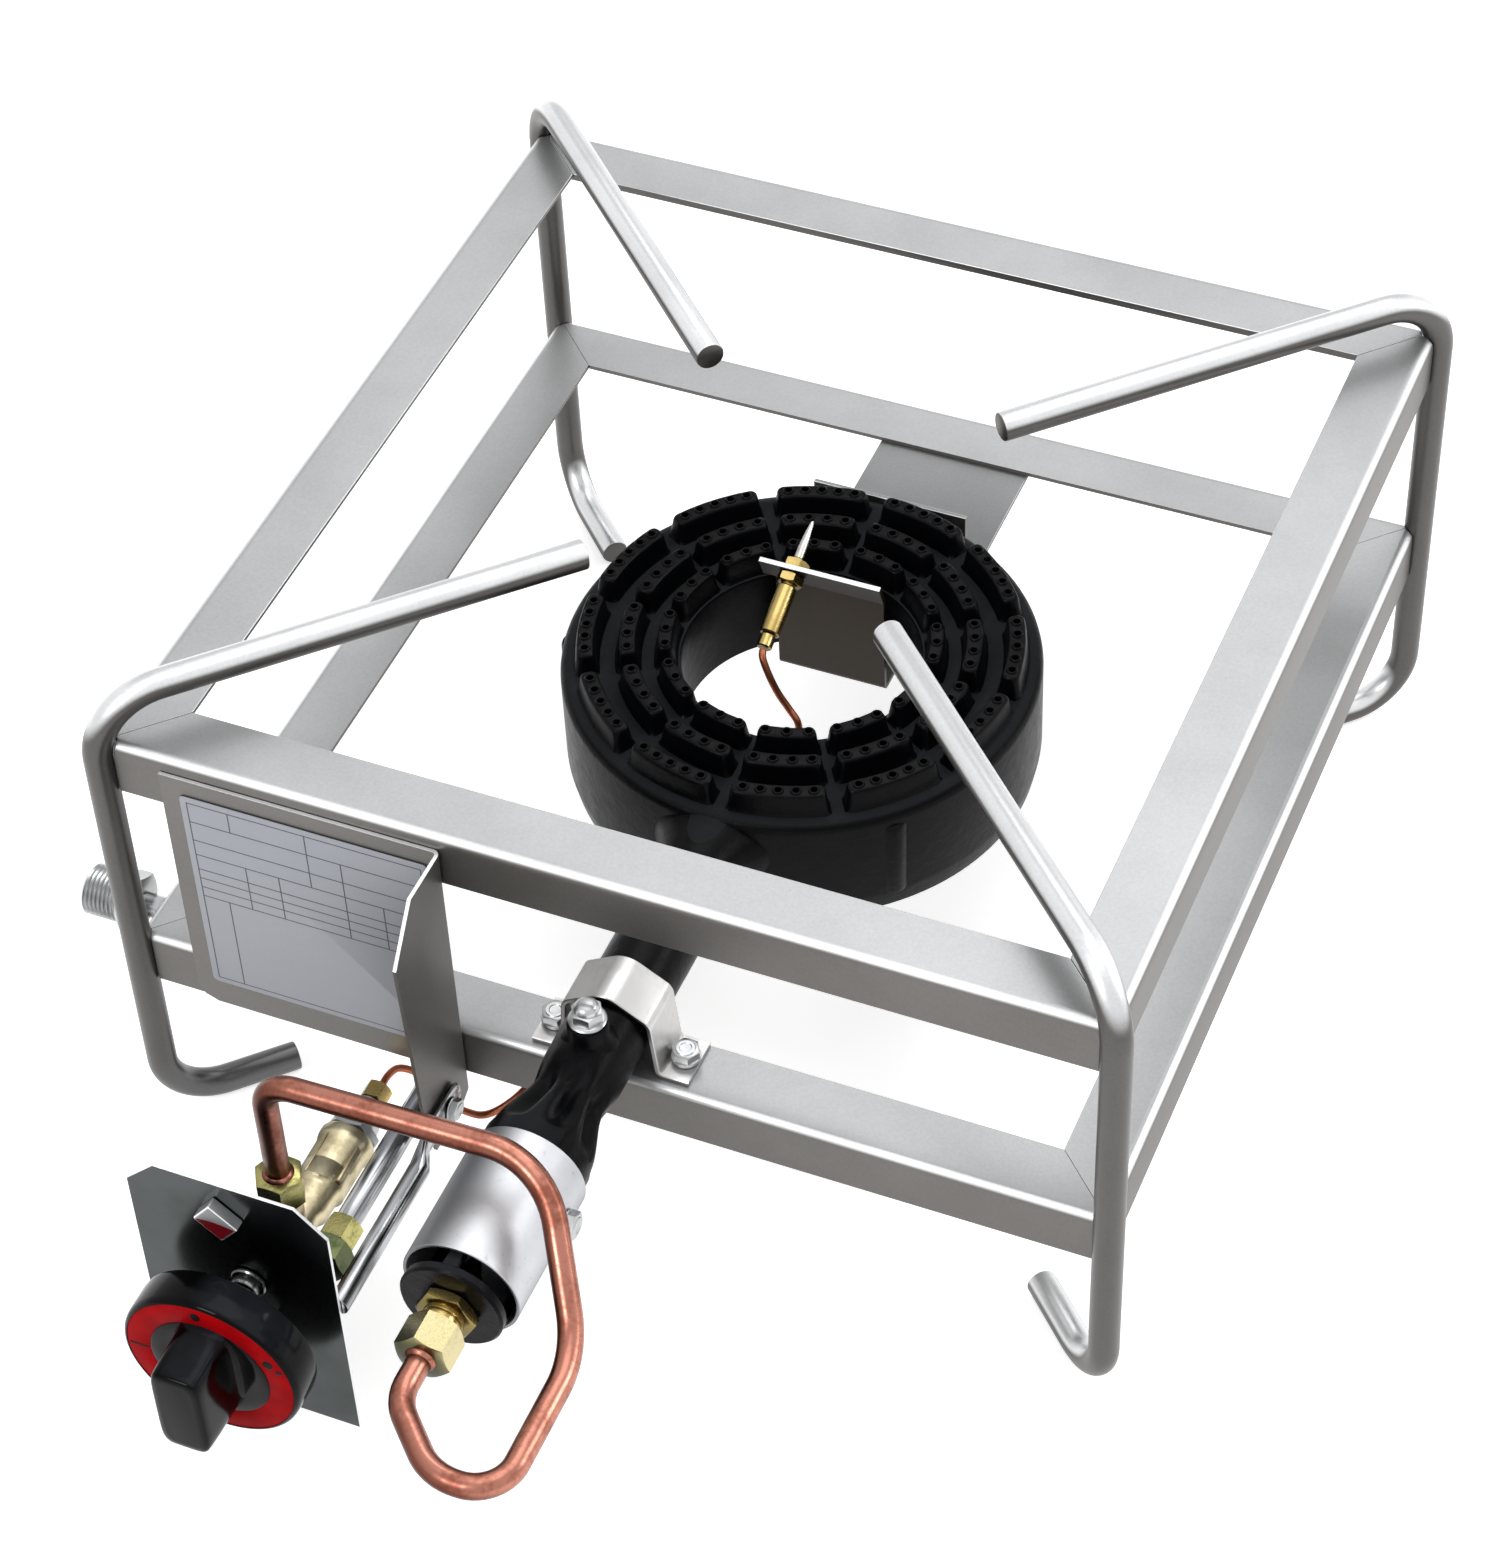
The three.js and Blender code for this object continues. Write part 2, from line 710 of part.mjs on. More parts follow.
// Sealing screw on the boss of the venturi: washer, hexagon and domed end
function addBossPlug() {
  const rise = venturiZ + venturiRadius + plugBossRise + gap;
  const washer = round(plugBossRadius, washerThickness, 20);
  const hex = hexagon(boltFlats + 2, nutHeight).translate(0, 0, washerThickness - 0.1);
  const dome = turned([[0, 0], [4.4, 0], [4.1, 1.8], [2.8, 3.3], [0, 4]], 16)
    .translate(0, 0, washerThickness + nutHeight - 0.2);
  place('boss_plug', laidAlong(join(washer, hex, dome), up, 0, -plugDistance, rise), zincPlate);
}

// ---------------------------------------------------------------- strap and its bolts

const strapInner = venturiRadius + gap;
const strapMiddle = strapInner + strapSheet / 2;

function earMiddle() {
  return strapMiddle + strapSpread + strapBend + gap / 2 + washerRadius;
}

function strapGeometry() {
  const pitch = rad(strapPitch);
  const apex = venturiZ + strapMiddle / Math.cos(pitch);
  const shoulder = apex - strapMiddle * Math.tan(pitch);
  const seat = lowerRingTop + gap + strapSheet / 2;
  const foot = strapMiddle + strapSpread;
  const line = [
    [-foot - strapEar, seat], [-foot, seat], [-strapMiddle, shoulder], [0, apex],
    [strapMiddle, shoulder], [foot, seat], [foot + strapEar, seat],
  ];
  const strip = prism(foldedOutline(line, strapBend, strapSheet), strapWidth);
  const strap = laidAlong(strip, front, 0, strapY + strapWidth / 2, 0);
  const holes = [-1, 1].map((side) => (
    laidAlong(round(boltHole, 4 * strapSheet, 16), up, side * earMiddle(), strapY, seat - 2 * strapSheet)
  ));
  return cut(strap, ...holes);
}

// A hexagon bolt pointing down its +Z, the underside of its head at the origin
function boltGeometry(shankLength) {
  const head = hexagon(boltFlats, boltHead).translate(0, 0, -boltHead);
  const crown = turned([[0, 0], [boltFlats * 0.42, 0], [boltFlats * 0.3, 0.6], [0, 0.7]], 12)
    .rotateX(Math.PI).translate(0, 0, -boltHead + 0.1);
  return join(head, crown, round(boltShank, shankLength, 12).translate(0, 0, -0.1));
}

function ringGeometry(outer, inner, height, sides = 24) {
  return turned([[inner, 0], [outer, 0], [outer, height], [inner, height], [inner, 0]], sides);
}

function nutGeometry(flats, height, bore) {
  return cut(hexagon(flats, height), round(bore, height + 2, 16).translate(0, 0, -1));
}

function addStrap() {
  place('venturi_strap', strapGeometry(), zincPlate);
  const washerBase = lowerRingTop + 2 * gap + strapSheet;
  const headBase = washerBase + washerThickness + gap;
  const nutTop = lowerRingTop - railSheet - gap;
  const shank = headBase - nutTop + nutHeight + 2;
  const down = up.clone().negate();
  [['left', -1], ['right', 1]].forEach(([side, sign]) => {
    const x = sign * earMiddle();
    const washer = ringGeometry(washerRadius, boltHole, washerThickness);
    place(`strap_washer_${side}`, laidAlong(washer, up, x, strapY, washerBase), zincPlate);
    place(`strap_bolt_${side}`, laidAlong(boltGeometry(shank), down, x, strapY, headBase), zincPlate);
    const nut = nutGeometry(boltFlats, nutHeight, boltHole);
    place(`strap_nut_${side}`, laidAlong(nut, down, x, strapY, nutTop), zincPlate);
  });
}

// ---------------------------------------------------------------- air sleeve and injector

function addAirSleeve() {
  const boltY = sleeveFrontY + sleeveBoltSet;
  const shell = ringGeometry(sleeveOuter, sleeveInner, sleeveLength, 44);
  const sleeve = laidAlong(shell, back, 0, sleeveFrontY, venturiZ);
  const bore = round(boltHole, 4 * sleeveWall, 16);
  const hole = laidAlong(bore, right, sleeveInner - sleeveWall, boltY, venturiZ);
  place('air_sleeve', cut(sleeve, hole), aluminium);
  const headX = sleeveOuter + gap;
  const bolt = boltGeometry(headX - sleeveInner - gap);
  place('sleeve_bolt', laidAlong(bolt, left, headX, boltY, venturiZ), zincPlate);
}

function addInjector() {
  const flangeBack = -(plateFront + gap);
  const spigotLength = airPlateThickness + 2 * gap + 4;
  const holder = join(
    laidAlong(hexagon(holderFlats, holderFlange), front, 0, flangeBack, venturiZ),
    laidAlong(round(holderNeckRadius, holderFlange + holderNeck), front, 0, flangeBack, venturiZ),
    laidAlong(round(holderSpigot, spigotLength), back, 0, flangeBack - 0.1, venturiZ),
  );
  place('injector_holder', holder, brass);
  const jetBase = flangeBack + spigotLength + gap;
  const jet = turned([[0, 0], [5, 0], [5, jetLength / 2], [2, jetLength], [0, jetLength]], 20);
  place('injector_jet', laidAlong(jet, back, 0, jetBase, venturiZ), brass);
  const nut = nutGeometry(injectorNutFlats, injectorNutLength, copperHole);
  place('injector_nut', laidAlong(nut, front, 0, -injectorNutBack, venturiZ), brass);
}

// Supply tube: up from the tap, across, forward and down past the sleeve, then round into the injector
function addCopperTube() {
  const nutReach = 3;
  const slantEnd = loopFront - loopSlant;
  const route = roundedRoute([
    new THREE.Vector3(outletX, outletY, outletTop + gap + nutReach),
    new THREE.Vector3(outletX, outletY, copperRise),
    new THREE.Vector3(copperCorner, outletY, copperRiseEnd),
    new THREE.Vector3(loopWidth, -loopTop, venturiZ),
    new THREE.Vector3(loopWidth, -loopFront, venturiZ),
    new THREE.Vector3(loopSlant, -loopFront, venturiZ),
    new THREE.Vector3(0, -slantEnd, venturiZ),
    new THREE.Vector3(0, -injectorNutBack - nutReach, venturiZ),
  ], [copperBend, copperSweep, copperSweep, ...loopBends], 6);
  place('copper_supply_tube', tube(route, copperRadius, 12), copper);
}

// ---------------------------------------------------------------- gas tap

const panelBack = panelFront + panelSheet;
const tapFront = panelBack + gap;
const bushingEnd = panelFront - gap - bushingNutHeight - 1;

function tapBody() {
  const along = (y) => y - bushingEnd;
  const shell = laidAlong(turned([
    [0, 0], [bushingRadius, 0], [bushingRadius, along(tapFront)], [tapBlockRadius, along(tapFront)],
    [tapBlockRadius, along(inletNutFront() - 2)], [tapNeckRadius, along(inletNutFront() - 1)],
    [tapNeckRadius, along(tapWaistY)],
    [tapBarrelRadius, along(tapShoulderY)], [tapBarrelRadius, along(tapRear - tapRim - 1)],
    [tapRearRadius, along(tapRear - tapRim)], [tapRearRadius, along(tapRear)], [0, along(tapRear)],
  ], 28), back, tapX, bushingEnd, tapZ);
  const armRadius = fittingRadius - 2 * gap;
  const outlet = laidAlong(round(armRadius, outletTop - tapZ, 20), up, outletX, outletY, tapZ);
  const branchZ = (tapZ + pipeDropZ) / 2;
  const branch = laidAlong(round(armRadius, pipeDropX - tapX, 20), right, tapX, inletBossY, branchZ);
  const socketFront = inletBossY - fittingRadius;
  const socketTube = round(fittingRadius + 1, inletNutFront() - gap - socketFront, 20);
  const socket = laidAlong(socketTube, back, pipeDropX, socketFront, pipeDropZ);
  const spindleBore = laidAlong(round(spindleRadius + gap, 30, 20), back, tapX, bushingEnd - 1, tapZ);
  const plugTube = round(tapBore, plugBack() - plugFrontY() + 2 * gap, 24);
  const plugBore = laidAlong(plugTube, back, tapX, plugFrontY() - gap, tapZ);
  return cut(join(shell, outlet, branch, socket), spindleBore, plugBore);
}

function inletNutFront() {
  return inletBossY + fittingRadius;
}

function plugFrontY() {
  return tapFront + 6;
}

function plugBack() {
  return tapWaistY;
}

function addTap() {
  place('tap_body', tapBody(), brass);
  const plugLength = plugBack() - plugFrontY();
  const socketDepth = tailLength + pressTravel + 2;
  const plug = cut(
    laidAlong(round(tapBore - gap, plugLength, 24), back, tapX, plugFrontY(), tapZ),
    laidAlong(round(tailRadius + gap, socketDepth, 16), back, tapX, plugFrontY() - 1, tapZ),
  );
  place('tap_plug', plug, brass);
  const outletNut = nutGeometry(outletNutFlats, outletNutHeight, copperHole);
  place('outlet_nut', laidAlong(outletNut, up, outletX, outletY, outletTop + gap), brass);
  const inletNut = nutGeometry(inletNutFlats, inletNutLength, pipeHole);
  place('inlet_nut', laidAlong(inletNut, back, pipeDropX, inletNutFront(), pipeDropZ), brass);
  const magnetBack = tapRear + gap + magnetLength;
  const magnet = join(hexagon(magnetFlats, magnetCollar), turned([
    [0, 1], [magnetRadius, 1], [magnetRadius, magnetShoulder], [magnetNeck, magnetShoulder + 3],
    [magnetNeck, magnetLength], [0, magnetLength],
  ], 24));
  place('magnet_unit', laidAlong(magnet, back, tapX, tapRear + gap, tapZ), zincPlate);
  const leadNut = nutGeometry(leadNutFlats, leadNutLength, leadDiameter / 2 + 2 * gap);
  place('lead_nut', laidAlong(leadNut, back, tapX, magnetBack + gap, tapZ), brass);
}

function addInletPipe() {
  const teeth = Math.round(threadLength / threadPitch);
  const profile = [[inletBore, 0], [threadRadius - 1, 0]];
  for (let i = 0; i < teeth; i += 1) {
    profile.push([threadRadius, (i + 0.5) * threadPitch], [threadRadius - 1, (i + 1) * threadPitch]);
  }
  profile.push([inletBore, threadLength], [inletBore, 0]);
  const thread = turned(profile, 24);
  const hex = nutGeometry(inletHexFlats, inletHex, pipeRadius - 1).translate(0, 0, threadLength - 0.1);
  place('inlet_nipple', laidAlong(join(thread, hex), right, inletX, inletY, inletZ), zincPlate);
  const start = inletX + threadLength + inletHex - 0.1 + gap;
  const route = roundedRoute([
    new THREE.Vector3(start, inletY, inletZ),
    new THREE.Vector3(pipeDropX - 36, inletY, inletZ),
    new THREE.Vector3(pipeDropX, inletY - 15, pipeDropZ),
    new THREE.Vector3(pipeDropX, inletNutFront() + inletNutLength - 4, pipeDropZ),
  ], [18, 18], 6);
  place('inlet_pipe', tube(route, pipeRadius, 12), chromed);
}

// ---------------------------------------------------------------- panel, strut and knob

function addPanel() {
  const halfWidth = panelWidth / 2;
  const outline = [
    [-halfWidth, panelBottom], [halfWidth, panelBottom], [halfWidth, panelTop - panelChamfer],
    [halfWidth - panelChamfer, panelTop], [-halfWidth + panelChamfer, panelTop],
    [-halfWidth, panelTop - panelChamfer],
  ].map(([x, z]) => new THREE.Vector2(-x, z));
  const sheet = prism(outline, panelSheet).rotateX(Math.PI / 2).rotateZ(Math.PI);
  sheet.translate(tapX, panelFront, 0);
  const bore = round(bushingRadius + gap, 4 * panelSheet);
  const hole = laidAlong(bore, back, tapX, panelFront - panelSheet, tapZ);
  const screwBore = round(screwRadius + gap, 4 * panelSheet, 16);
  const screwHole = laidAlong(screwBore, back, screwX, panelFront - panelSheet, screwZ);
  place('control_panel', cut(sheet, hole, screwHole), zincPlate);
  const shank = panelSheet + 2 * gap + screwNutHeight + 1;
  const screw = join(turned([
    [0, 0], [screwFlange, 0], [screwFlange, 1.6], [screwHead, 2], [screwHead, 5], [screwHead - 2, 6.4],
    [0, screwRise],
  ], 28), round(screwRadius, shank + 1, 16).translate(0, 0, -shank));
  place('panel_screw', laidAlong(screw, front, screwX, panelFront - gap, screwZ), zincPlate);
  const screwNut = nutGeometry(screwNutFlats, screwNutHeight, screwRadius + gap);
  place('panel_screw_nut', laidAlong(screwNut, back, screwX, panelBack + gap, screwZ), zincPlate);
  const nut = nutGeometry(bushingNutFlats, bushingNutHeight, bushingRadius + gap);
  place('bushing_nut', laidAlong(nut, front, tapX, panelFront - gap, tapZ), chromed);
  place('index_mark', indexGeometry(), chromed);
}

// Bevelled diamond on the panel above the knob
function indexGeometry() {
  const diamond = (width, rise) => [-90, 0, 90, 180].map((angle) => {
    const across = (width / 2) * Math.cos(rad(angle));
    const upward = (width / 2) * Math.sin(rad(angle));
    return new THREE.Vector3(tapX + indexShift + across, panelFront - gap - rise, indexZ + upward);
  });
  return skinned([
    diamond(indexWidth, 0), diamond(indexWidth, indexRise * 0.8), diamond(indexWidth * 0.88, indexRise),
  ]);
}

// Round tube whose far end is pressed flat and bolted to the wing
function addStrut() {
  const points = 16;
  const tabX = shieldRight + gap + strutFlat / 2;
  const ringAt = (y, x, halfThick, halfHeight) => {
    const ring = [];
    for (let i = 0; i < points; i += 1) {
      const angle = ((i + 0.5) / points) * 2 * Math.PI;
      ring.push(new THREE.Vector3(x - halfThick * Math.cos(angle), y, strutZ + halfHeight * Math.sin(angle)));
    }
    return ring;
  };
  const radius = strutDiameter / 2;
  const strut = skinned([
    ringAt(tapFront, strutX, radius, radius),
    ringAt(strutRoundEnd, strutX, radius, radius),
    ringAt(strutTabStart, tabX, strutFlat / 2, strutTab / 2),
    ringAt(strutTabEnd - 3, tabX, strutFlat / 2, strutTab / 2),
    ringAt(strutTabEnd, tabX, strutFlat / 2, strutTab / 3),
  ]);
  const hole = laidAlong(round(boltHole, 4 * strutFlat, 16), right, tabX - 2 * strutFlat, strutBoltY, strutZ);
  place('panel_strut', cut(strut, hole), chromed);
  const headX = tabX + strutFlat / 2 + gap;
  const nutX = shieldRight - shieldSheet - gap;
  const bolt = boltGeometry(headX - nutX + nutHeight + 1);
  place('strut_bolt', laidAlong(bolt, left, headX, strutBoltY, strutZ), zincPlate);
  const nut = nutGeometry(boltFlats, nutHeight, boltHole);
  place('strut_nut', laidAlong(nut, left, nutX, strutBoltY, strutZ), zincPlate);
}

function gripGeometry() {
  const outline = (width, length, depth) => {
    const ring = [];
    const corner = width * 0.3;
    [[1, 1], [-1, 1], [-1, -1], [1, -1]].forEach(([sx, sz], i) => {
      const a = [sx * (width / 2), sz * (length / 2 - corner)];
      const b = [sx * (width / 2 - corner), sz * (length / 2)];
      (i % 2 === 0 ? [a, b] : [b, a]).forEach(([x, z]) => ring.push(new THREE.Vector3(x, -depth, z)));
    });
    return ring;
  };
  return skinned([
    outline(gripFootWidth, gripLength, 0),
    outline(gripWidth, gripLength * 0.99, gripDepth * 0.3),
    outline(gripWidth * 0.95, gripLength * 0.97, gripDepth * 0.92),
    outline(gripWidth * 0.84, gripLength * 0.9, gripDepth),
  ]);
}

function addKnob() {
  const groove = knobDepth - grooveDepth;
  const skirt = laidAlong(turned([
    [0, 0], [knobRadius - 1.5, 0], [knobRadius, 2], [knobRadius, knobDepth - 2.5],
    [knobRadius - 1.2, knobDepth],
    [ringOuter + gap, knobDepth], [ringOuter + gap, groove], [ringInner - gap, groove],
    [ringInner - gap, knobDepth], [0, knobDepth],
  ], 48), front, tapX, knobBack, tapZ);
  const grip = gripGeometry().translate(tapX, knobFace + 0.5, tapZ + gripLift);
  const bore = laidAlong(round(spindleRadius + gap, knobDepth - 3, 20), front, tapX, knobBack + 1, tapZ);
  place('knob', cut(join(skirt, grip), bore), blackPlastic);
  const ring = ringGeometry(ringOuter, ringInner, ringThickness, 48);
  place('knob_ring', laidAlong(ring, front, tapX, knobBack - groove - gap, tapZ), redPrint);
  const stemStart = knobBack - knobDepth + 6;
  const stemEnd = plugFrontY() - pressTravel - 2 * gap;
  const stem = laidAlong(round(spindleRadius, stemEnd - stemStart, 20), back, tapX, stemStart, tapZ);
  const tail = laidAlong(round(tailRadius, tailLength + 1, 12), back, tapX, stemEnd - 1, tapZ);
  place('spindle', join(stem, tail), chromed);
}

// ---------------------------------------------------------------- data plate

function addShield() {
  const middle = shieldSheet / 2;
  const sheetLine = [
    [shieldLeft, shieldBack - middle], [shieldRight - middle, shieldBack - middle],
    [shieldRight - middle, shieldFront - wingReach],
  ];
  const folded = prism(foldedOutline(sheetLine, middle + 1.5, shieldSheet), shieldTop);
  const plate = [
    [shieldLeft, shieldTop], [shieldLeft, shieldBottom + shieldCorner],
    [shieldLeft + shieldCorner * 0.3, shieldBottom + shieldCorner * 0.3],
    [shieldLeft + shieldCorner, shieldBottom], [shieldRight - shieldSheet, shieldBottom],
    [shieldRight - shieldSheet, shieldTop],
  ].map(([x, z]) => new THREE.Vector2(x, z));
  const plateMask = prism(plate, 8).rotateX(Math.PI / 2).translate(0, shieldBack + 1, 0);
  const reach = shieldFront - wingReach;
  const wing = [
    [shieldBack + 1, shieldTop], [shieldFront - wingTopReach, shieldTop], [reach, shieldTop - 22],
    [reach + 5, wingBottom + 32], [reach + 11, wingBottom], [shieldBack - 11, wingBottom],
    [shieldBack + 1, wingBottom + 6],
  ].map(([y, z]) => new THREE.Vector2(y, z));
  const wingMask = prism(wing, 8);
  const basis = new THREE.Matrix4().makeBasis(back, up, right);
  wingMask.applyMatrix4(basis).translate(shieldRight - 6, 0, 0);
  const strutBore = round(boltHole, 8 * shieldSheet, 16);
  const strutHole = laidAlong(strutBore, right, shieldRight - 4 * shieldSheet, strutBoltY, strutZ);
  place('data_plate', cut(common(folded, join(plateMask, wingMask)), strutHole), satinSteel);
  const labelLeft = shieldLeft + labelMargin;
  const labelRight = shieldRight - shieldSheet - 4;
  const labelTop = shieldTop - labelMargin;
  const labelBack = shieldFront - gap;
  const labelBottom = labelTop - labelHeight;
  const label = box(labelLeft, labelRight, labelBack - labelThickness, labelBack, labelBottom, labelTop);
  place('bare_label', label, labelSilver);
}

// ---------------------------------------------------------------- rear bracket and thermocouple

function sheetAcross(corners, bend, sheet, width) {
  const strip = prism(foldedOutline(corners, bend, sheet), width);
  const basis = new THREE.Matrix4().makeBasis(back, up, right);
  return strip.applyMatrix4(basis).translate(-width / 2, 0, 0);
}

function addRearBracket() {
  const middle = bracketSheet / 2;
  const upstandY = burnerRadius + gap + middle;
  const level = bracketTop - middle;
  const line = [
    [half - railBendRadius - gap, level], [upstandY, level], [upstandY, burnerTop + bracketUpstand],
  ];
  place('rear_bracket', sheetAcross(line, middle + 1, bracketSheet, bracketWidth), satinSteel);
}

const flangeUp = new THREE.Vector3(0, -Math.sin(rad(flangeTilt)), Math.cos(rad(flangeTilt)));
const probeSeat = new THREE.Vector3(probeX, stripUprightY, stripBendZ).addScaledVector(flangeUp, flangeHole);
const probeAim = new THREE.Vector3(0, Math.cos(rad(flangeTilt)), Math.sin(rad(flangeTilt)));

function addThermocoupleBracket() {
  const middle = bracketSheet / 2;
  const level = bracketTop - middle;
  const end = new THREE.Vector2(
    stripUprightY + flangeUp.y * flangeLength, stripBendZ + flangeUp.z * flangeLength);
  const line = [[stripRear, level], [stripUprightY, level], [stripUprightY, stripBendZ], [end.x, end.y]];
  const strip = sheetAcross(line, middle + 1.5, bracketSheet, stripWidth);
  const ear = box(-stripWidth / 2 - earReach, -stripWidth / 2 + 1, -middle, middle, 1, flangeLength);
  ear.rotateX(rad(flangeTilt)).translate(0, stripUprightY, stripBendZ);
  const hole = round(probeThread + gap, 4 * bracketSheet, 16);
  const holeStart = probeSeat.clone().addScaledVector(probeAim, -2 * bracketSheet);
  const tool = laidAlong(hole, probeAim, holeStart.x, holeStart.y, holeStart.z);
  place('thermocouple_bracket', cut(join(strip, ear), tool), satinSteel);
}

// Thermocouple pieces stand in a group whose +Z is the way its tip points
function addThermocouple() {
  const probe = new THREE.Group();
  probe.position.copy(probeSeat);
  probe.quaternion.setFromUnitVectors(up, probeAim);
  range.add(probe);
  const nutStart = bracketSheet / 2 + gap;
  const threadEnd = nutStart + probeNutHeight + 1;
  const bodyEnd = -threadEnd - probeBodyLength;
  const body = turned([
    [0, bodyEnd], [probeBody, bodyEnd], [probeBody, -threadEnd], [probeThread, -threadEnd],
    [probeThread, threadEnd], [0, threadEnd],
  ], 20);
  place('thermocouple_body', body, brass, probe);
  const needleStart = threadEnd + gap;
  const needle = turned([
    [0, needleStart], [needleRadius, needleStart], [needleRadius, needleStart + needleLength * 0.55],
    [needleTip, needleStart + needleLength * 0.65], [needleTip, needleStart + needleLength],
    [0, needleStart + needleLength],
  ], 14);
  place('thermocouple_needle', needle, chromed, probe);
  const nut = nutGeometry(probeNutFlats, probeNutHeight, probeThread + gap);
  place('probe_nut_rear', nut.clone().translate(0, 0, nutStart), brass, probe);
  place('probe_nut_front', nut.clone().translate(0, 0, -nutStart - probeNutHeight), brass, probe);
  const ferruleEnd = bodyEnd - gap - ferruleLength;
  const ferrule = turned([
    [0, ferruleEnd], [ferruleRadius, ferruleEnd], [ferruleRadius, bodyEnd - gap], [0, bodyEnd - gap],
  ], 16);
  place('probe_ferrule', ferrule, brass, probe);
  addLead(probeSeat.clone().addScaledVector(probeAim, ferruleEnd - 3 * gap));
}

// Capillary lead: down through the burner's hole, forward under the rail and into the magnet unit
function addLead(start) {
  const nutBack = tapRear + 2 * gap + magnetLength + leadNutLength;
  const curve = new THREE.CatmullRomCurve3([
    start,
    ...leadThrough.map((point) => new THREE.Vector3(...point)),
    ...leadLoop.map(([x, y, z]) => new THREE.Vector3(tapX + x, nutBack + y, tapZ + z)),
    new THREE.Vector3(tapX, nutBack + 1, tapZ),
    new THREE.Vector3(tapX, nutBack - leadNutLength + 2, tapZ),
  ], false, 'centripetal');
  place('thermocouple_lead', tube(curve.getSpacedPoints(72), leadDiameter / 2, 8), copper);
}

// ---------------------------------------------------------------- whole range

addRings();
addLegs();
addBurner();
addBossPlug();
addStrap();
addAirSleeve();
addInjector();
addCopperTube();
addTap();
addInletPipe();
addPanel();
addStrut();
addKnob();
addShield();
addRearBracket();
addThermocoupleBracket();
addThermocouple();

// The origin is under the middle of the whole range, on the surface it stands on
const bounds = new THREE.Box3().setFromObject(range, true);
range.position.set(-(bounds.min.x + bounds.max.x) / 2, -(bounds.min.y + bounds.max.y) / 2, -bounds.min.z);
range.updateMatrixWorld(true);

export default range;
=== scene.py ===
# %% [markdown]
# # A stock pot range, dressed in Blender
# The range is a low gas stand: two square rings of folded stainless angle on four bent rod legs, a black
# cast ring burner, and a gas tap with its knob carried in front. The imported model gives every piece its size
# and its place. This lesson gives each piece its fine surface and its finish, one piece at a time.

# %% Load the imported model
import json
import math

import bmesh
import bpy
from mathutils import Matrix, Vector

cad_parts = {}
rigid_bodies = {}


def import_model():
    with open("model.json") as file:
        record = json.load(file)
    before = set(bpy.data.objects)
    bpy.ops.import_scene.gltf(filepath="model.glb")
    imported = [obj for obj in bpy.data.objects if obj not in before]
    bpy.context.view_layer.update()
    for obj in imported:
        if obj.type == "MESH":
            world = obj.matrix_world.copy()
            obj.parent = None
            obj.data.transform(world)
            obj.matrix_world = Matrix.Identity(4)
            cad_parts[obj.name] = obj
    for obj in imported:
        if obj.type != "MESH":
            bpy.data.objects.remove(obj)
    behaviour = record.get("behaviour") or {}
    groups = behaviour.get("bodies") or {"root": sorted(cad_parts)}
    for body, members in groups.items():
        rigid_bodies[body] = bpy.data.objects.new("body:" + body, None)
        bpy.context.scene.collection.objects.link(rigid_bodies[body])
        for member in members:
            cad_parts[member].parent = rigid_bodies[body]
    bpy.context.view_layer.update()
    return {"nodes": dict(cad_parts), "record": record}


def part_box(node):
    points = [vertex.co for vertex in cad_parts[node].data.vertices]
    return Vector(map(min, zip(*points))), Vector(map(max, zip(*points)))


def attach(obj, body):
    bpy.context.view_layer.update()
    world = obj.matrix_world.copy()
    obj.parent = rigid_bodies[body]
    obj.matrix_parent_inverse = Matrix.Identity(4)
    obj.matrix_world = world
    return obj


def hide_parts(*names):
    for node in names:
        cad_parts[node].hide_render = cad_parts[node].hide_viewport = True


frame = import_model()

NODES = frame["nodes"]
BODY_OF = {node: body for body, nodes in frame["record"]["behaviour"]["bodies"].items() for node in nodes}

# %% [markdown]
# The pieces are easiest to place from the middle of the square frame, because the burner, the legs and the
# rails are all laid out from there. The rails give that middle, so nothing has to be fitted by eye. Sizes are
# written in millimetres, as on a drawing, and one helper turns them into metres.

# %% Places measured from the middle of the frame
MM = 0.001
ring_low, ring_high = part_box("upper_rail_front")[0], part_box("upper_rail_rear")[1]
MIDDLE = Vector(((ring_low.x + ring_high.x) / 2, (ring_low.y + ring_high.y) / 2, 0.0))
HALF = (ring_high.y - ring_low.y) / 2 / MM


def at(x, y, z):
    """A place in metres, from millimetres right of, behind and above the middle of the frame."""
    return MIDDLE + Vector((x, y, z)) * MM


RIGHT, BACK, UP = Vector((1, 0, 0)), Vector((0, 1, 0)), Vector((0, 0, 1))
LEFT, FRONT, DOWN = -RIGHT, -BACK, -UP
print("middle of the frame", [round(v, 4) for v in MIDDLE], "half side in mm", round(HALF, 2))

# %% [markdown]
# A finish is a sum over a surface: a mottling times a share, plus a tone. It could be drawn as a web of nodes
# by hand, but it reads best as the sum that it is. The class below wraps one socket and lets masks be added,
# multiplied and compared like numbers, and each sign adds its Math node.

# %% Shader sums


